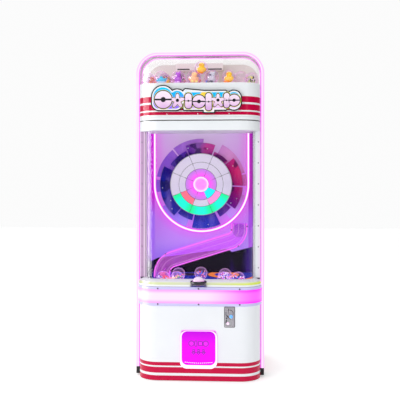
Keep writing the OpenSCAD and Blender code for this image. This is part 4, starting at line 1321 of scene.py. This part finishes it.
def build_front():
    """Screws of the lit band and the window posts, and the posts' gaskets."""
    # The black recess material is painted shade in the screws' cross recesses.
    heads = [brushed("screw_steel", (0.30, 0.28, 0.34), 0.25), painted("front_recess", BLACK, 0.6)]
    housing = low("band_housing")
    lower, upper = (housing.z + BAND[0]) / 2 + 0.002, (BAND[1] + high("band_housing").z) / 2 - 0.002
    bm = bmesh.new()
    for x in (-0.248, 0.0, 0.248):
        for z in (lower, upper):
            screw(bm, x, housing.y, z, 0.0056, 0.0026)
    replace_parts(add("band_screw_heads", bm, heads), "panel_screws")

    turn_y = FRONT + CORNER
    first, pitch = 0.676, 0.130
    bm = bmesh.new()
    for side in (-1, 1):
        for i in range(7):
            screw(bm, side * (HALF - 0.012), turn_y, first + pitch * i, 0.0038, 0.0014)
    add("post_screw_heads", bm, heads)

    foot, top = POST_FOOT, CORNICE - 0.002
    bm = bmesh.new()
    for side in (-1, 1):
        x = side * (HALF - 0.034)
        x0, x1 = x - 0.0015, x + 0.0015
        plate(bm, [(x0, foot), (x1, foot), (x1, top), (x0, top)], turn_y - 0.0018, turn_y, 0.0004)
    add("post_gaskets", bm, painted("gasket_rubber", (0.16, 0.13, 0.18), 0.6))


def build_flap():
    """Icons and light beads on the prize flap, and the lit edge of its frame."""
    ink = painted("flap_ink", (0.10, 0.0, 0.26))
    fill = lit_plastic("flap_icon_fill", (0.85, 0.0, 0.95), (1.0, 0.0, 1.0), 40.0, 1.0, 0.05)
    face = low("prize_flap").y
    cz = (low("prize_flap").z + high("prize_flap").z) / 2
    upper, lower = cz + 0.028, cz - 0.022
    icons = [circle_field(-0.043, upper, 0.0175), box_field(-0.016, upper, 0.016, 0.036, 0.0078),
             box_field(0.012, upper, 0.028, 0.028, 0.006), circle_field(0.043, upper, 0.0175)]
    for x in (-0.030, 0.0, 0.030):
        head = facet_field([(x - 0.015, lower), (x, lower - 0.018), (x + 0.015, lower)])
        icons.append(union([head, box_field(x, lower + 0.008, 0.012, 0.018, 0.001)]))
    box = ((-0.08, cz - 0.06), (0.08, cz + 0.06))
    relief("flap_icons", ink, icons, 0.0, (face - 0.0003, face), box, "prize_flap", 0.001)
    relief("flap_icon_fills", fill, icons, -0.0034, (face - 0.0005, face), box, "prize_flap", 0.001)

    beads = bmesh.new()
    for i in range(-7, 8):
        place = facing(i * 0.0115, face, low("prize_flap").z + 0.012 + 0.0001 * i * i)
        lathe(beads, [(0.0022, 0.0), (0.0021, 0.0007), (0.0012, 0.0014), (0.0, 0.0017)], place, 14)
    led = Shader("led_lens")
    tone = led.mix(led.noise(200.0), (1.0, 0.85, 1.0), (1.0, 1.0, 1.0))
    led.colour(tone).glow(tone, 1.2)
    led.set(Roughness=0.2)
    add("flap_led_beads", beads, led, body="prize_flap")

    rim = bmesh.new()
    lo, hi = low("door_bezel"), high("door_bezel")
    wide, tall = hi.x - lo.x - 0.001, BEZEL_TOP - BEZEL_FOOT - 0.001
    outline = rounded(0.0, (BEZEL_FOOT + BEZEL_TOP) / 2, wide, tall, 0.0405, 12)
    path = [(p[0], lo.y + 0.002, p[1]) for p in outline]
    sweep(rim, path, [(-0.0015, 0.0), (-0.0008, 0.0016), (0.0008, 0.0016), (0.0015, 0.0)], closed=True)
    add("bezel_edge_line", rim, glow_line("bezel_edge", MAGENTA, (1.0, 0.3, 1.0), 0.9))


def build_coin():
    """Slot rings, guides, return cup and screws of the coin plate."""
    face = FRONT - 0.0025
    dark = painted("coin_dark", (0.02, 0.02, 0.025), 0.35)
    steel = brushed("coin_bright", (0.62, 0.60, 0.64), 0.2)
    cx = (low("coin_plate").x + high("coin_plate").x) / 2
    top = high("coin_plate").z
    middle = top - 0.0635
    flap = low("coin_return_flap")

    bm = bmesh.new()
    for i in range(3):
        r = 0.0112 - 0.0030 * i
        profile = [(r, 0.0), (r, 0.0008), (r - 0.0008, 0.0012), (r - 0.0014, 0.0)]
        lathe(bm, profile, facing(cx - 0.008, face - 0.0048 + 0.0004 * i, top - 0.0285), 36)
    add("coin_slot_rings", bm, steel)

    bm = bmesh.new()
    hoop = [(0.0235, 0.0), (0.0232, 0.0010), (0.0218, 0.0013), (0.0206, 0.0010), (0.0203, 0.0)]
    lathe(bm, hoop, facing(cx, face, top - 0.043), 64)
    edge = [(p[0], face, p[1]) for p in rounded(cx, middle, 0.062, 0.123, 0.004, 5)]
    sweep(bm, edge, [(-0.0016, 0.0), (0.0, 0.0004), (0.0016, 0.0)], closed=True)
    arm = rounded(0.0, 0.0, 0.034, 0.0065, 0.0031, 6)
    for across, down, angle in ((-0.005, 0.066, -42), (-0.019, 0.082, 80)):
        outline = turned(arm, cx + across, top - down, math.radians(angle))
        plate(bm, outline, face - 0.0024, face - 0.0001, 0.0006)
    add("coin_guides", bm, dark)

    bm = bmesh.new()
    lip = [(p[0], face, p[1]) for p in rounded(cx - 0.006, flap.z + 0.0155, 0.042, 0.038, 0.004, 5)]
    sweep(bm, lip, [(-0.0018, 0.0), (-0.0012, 0.0026), (0.0012, 0.0026), (0.0018, 0.0)], closed=True)
    add("coin_return_lip", bm, steel)

    bm = bmesh.new()
    knob = [(0.0080, 0.0), (0.0080, 0.001), (0.0068, 0.0018), (0.0, 0.002)]
    lathe(bm, knob, facing(cx - 0.010, flap.y, flap.z + 0.010), 24)
    pink = painted("coin_return_pink", (0.95, 0.62, 0.90), 0.2).glow((1.0, 0.65, 0.95), 0.5)
    add("coin_return_button", bm, pink, body="return_flap")

    bm = bmesh.new()
    for x in (-0.0265, 0.0265):
        for z in (-0.0565, 0.0565):
            screw(bm, cx + x, face - 0.0014, middle + z, 0.003, 0.0012)
    # Their black cross recesses are painted shade.
    add("coin_plate_screws", bm, [steel, dark])


def build_button():
    lo, hi = low("button_bezel"), high("button_bezel")
    cx, cy = (lo.x + hi.x) / 2, (lo.y + hi.y) / 2
    bm = bmesh.new()
    place = Matrix.Translation((cx, cy, hi.z))
    lathe(bm, [(0.0400, -0.004), (0.0400, 0.0), (0.0412, 0.0008), (0.0424, 0.0), (0.0424, -0.001)], place, 72)
    add("button_collar", bm, brushed("button_chrome", (0.5, 0.48, 0.55), rough=0.12))


# ---------- header, bin and rear details ----------

def front_seam(bm, z):
    """Fine raised line round the front at a height."""
    centre = HALF - CORNER
    section = [(0.0, z - 0.0006), (0.0005, z), (0.0, z + 0.0006)]
    turns = [(-centre, a) for a in range(180, 271, 5)] + [(centre, a) for a in range(270, 361, 5)]
    rings = []
    for x, degrees in turns:
        t = math.radians(degrees)
        ring = [(x + (CORNER + out) * math.cos(t), FRONT + CORNER + (CORNER + out) * math.sin(t), height)
                for out, height in section]
        rings.append([bm.verts.new(point) for point in ring])
    for a, b in zip(rings, rings[1:]):
        for k in range(len(section) - 1):
            bm.faces.new((a[k], a[k + 1], b[k + 1], b[k]))


def build_header():
    """Rivets under the sign, panel seams and the bin lamp's vents."""
    bm = bmesh.new()
    for x in (-0.190, -0.003, 0.185):
        screw(bm, x, FRONT - 0.0005, 1.6205, 0.0034, 0.0012)
    steel = brushed("header_rivet", (0.75, 0.72, 0.76), 0.25)
    # The black rivet recesses are painted shade.
    add("header_rivets", bm, [steel, painted("rivet_recess", BLACK)])

    bm = bmesh.new()
    for z in (1.602, 0.457):
        front_seam(bm, z)
    add("header_seam", bm, painted("seam_grey", (0.45, 0.47, 0.5), 0.4))

    bm = bmesh.new()
    lamp = low("bin_lamp")
    foot, top = lamp.z + 0.0035, lamp.z + 0.0110
    for x0, x1 in ((-0.1625, -0.0825), (0.0195, 0.1295)):
        slot = [(x0, foot), (x1, foot), (x1, top), (x0, top)]
        plate(bm, slot, lamp.y - 0.0008, lamp.y + 0.0004, 0.0002)
    # The vents are black plates: painted shade where the slots open into the lamp.
    add("bin_lamp_vents", bm, painted("lamp_vent", BLACK, 0.6))


def build_rear():
    """Screw heads down the rear frame, the door's folded edge and parts on the control board."""
    backwards = Matrix.Rotation(math.radians(-90), 4, "X")
    bm = bmesh.new()
    for x in (-HALF + 0.012, HALF - 0.012):
        for i in range(11):
            place = Matrix.Translation((x, BACK, 0.06 + 0.17 * i)) @ backwards
            lathe(bm, [(0.0, 0.0024), (0.003, 0.0024), (0.0048, 0.0012), (0.005, 0.0)], place, 20)
    add("rear_screws", bm, brushed("rear_screw", STEEL))

    bm = bmesh.new()
    lo, hi = low("rear_door"), high("rear_door")
    outline = rounded((lo.x + hi.x) / 2 + 0.006, (lo.z + hi.z) / 2, 0.500, hi.z - lo.z - 0.03, 0.012, 6)
    path = [(p[0], BACK + 0.0035, p[1]) for p in outline]
    sweep(bm, path, [(-0.004, 0.0), (-0.002, -0.0012), (0.002, -0.0012), (0.004, 0.0)], closed=True)
    add("rear_door_fold", bm, painted("rear_door_edge", (0.7, 0.72, 0.75), 0.4), body="rear_door")

    bm = bmesh.new()
    board = low("control_board")
    for i in range(9):
        for y in (0.020, 0.160):
            blob(bm, Vector((board.x + 0.012, y, 0.215 + 0.021 * i)), (0.004, 0.004, 0.006), i % 2, rings=8)
    add("board_components", bm, [painted("part_black", BLACK), painted("part_tin", STEEL, metallic=1.0)])


# ---------- assembly ----------

def main():
    build_stage()
    dress_shells()
    dress_fittings()
    dress_window()
    dress_lights()
    dress_board()
    dress_inside()
    build_arch()
    build_u_tube()
    build_board()
    build_chute()
    build_capsules("bin_capsules", bin_order, 0.22)
    build_capsules("play_capsules", play_order, 0.75)
    build_sign()
    build_front()
    build_flap()
    build_coin()
    build_button()
    build_header()
    build_rear()


main()
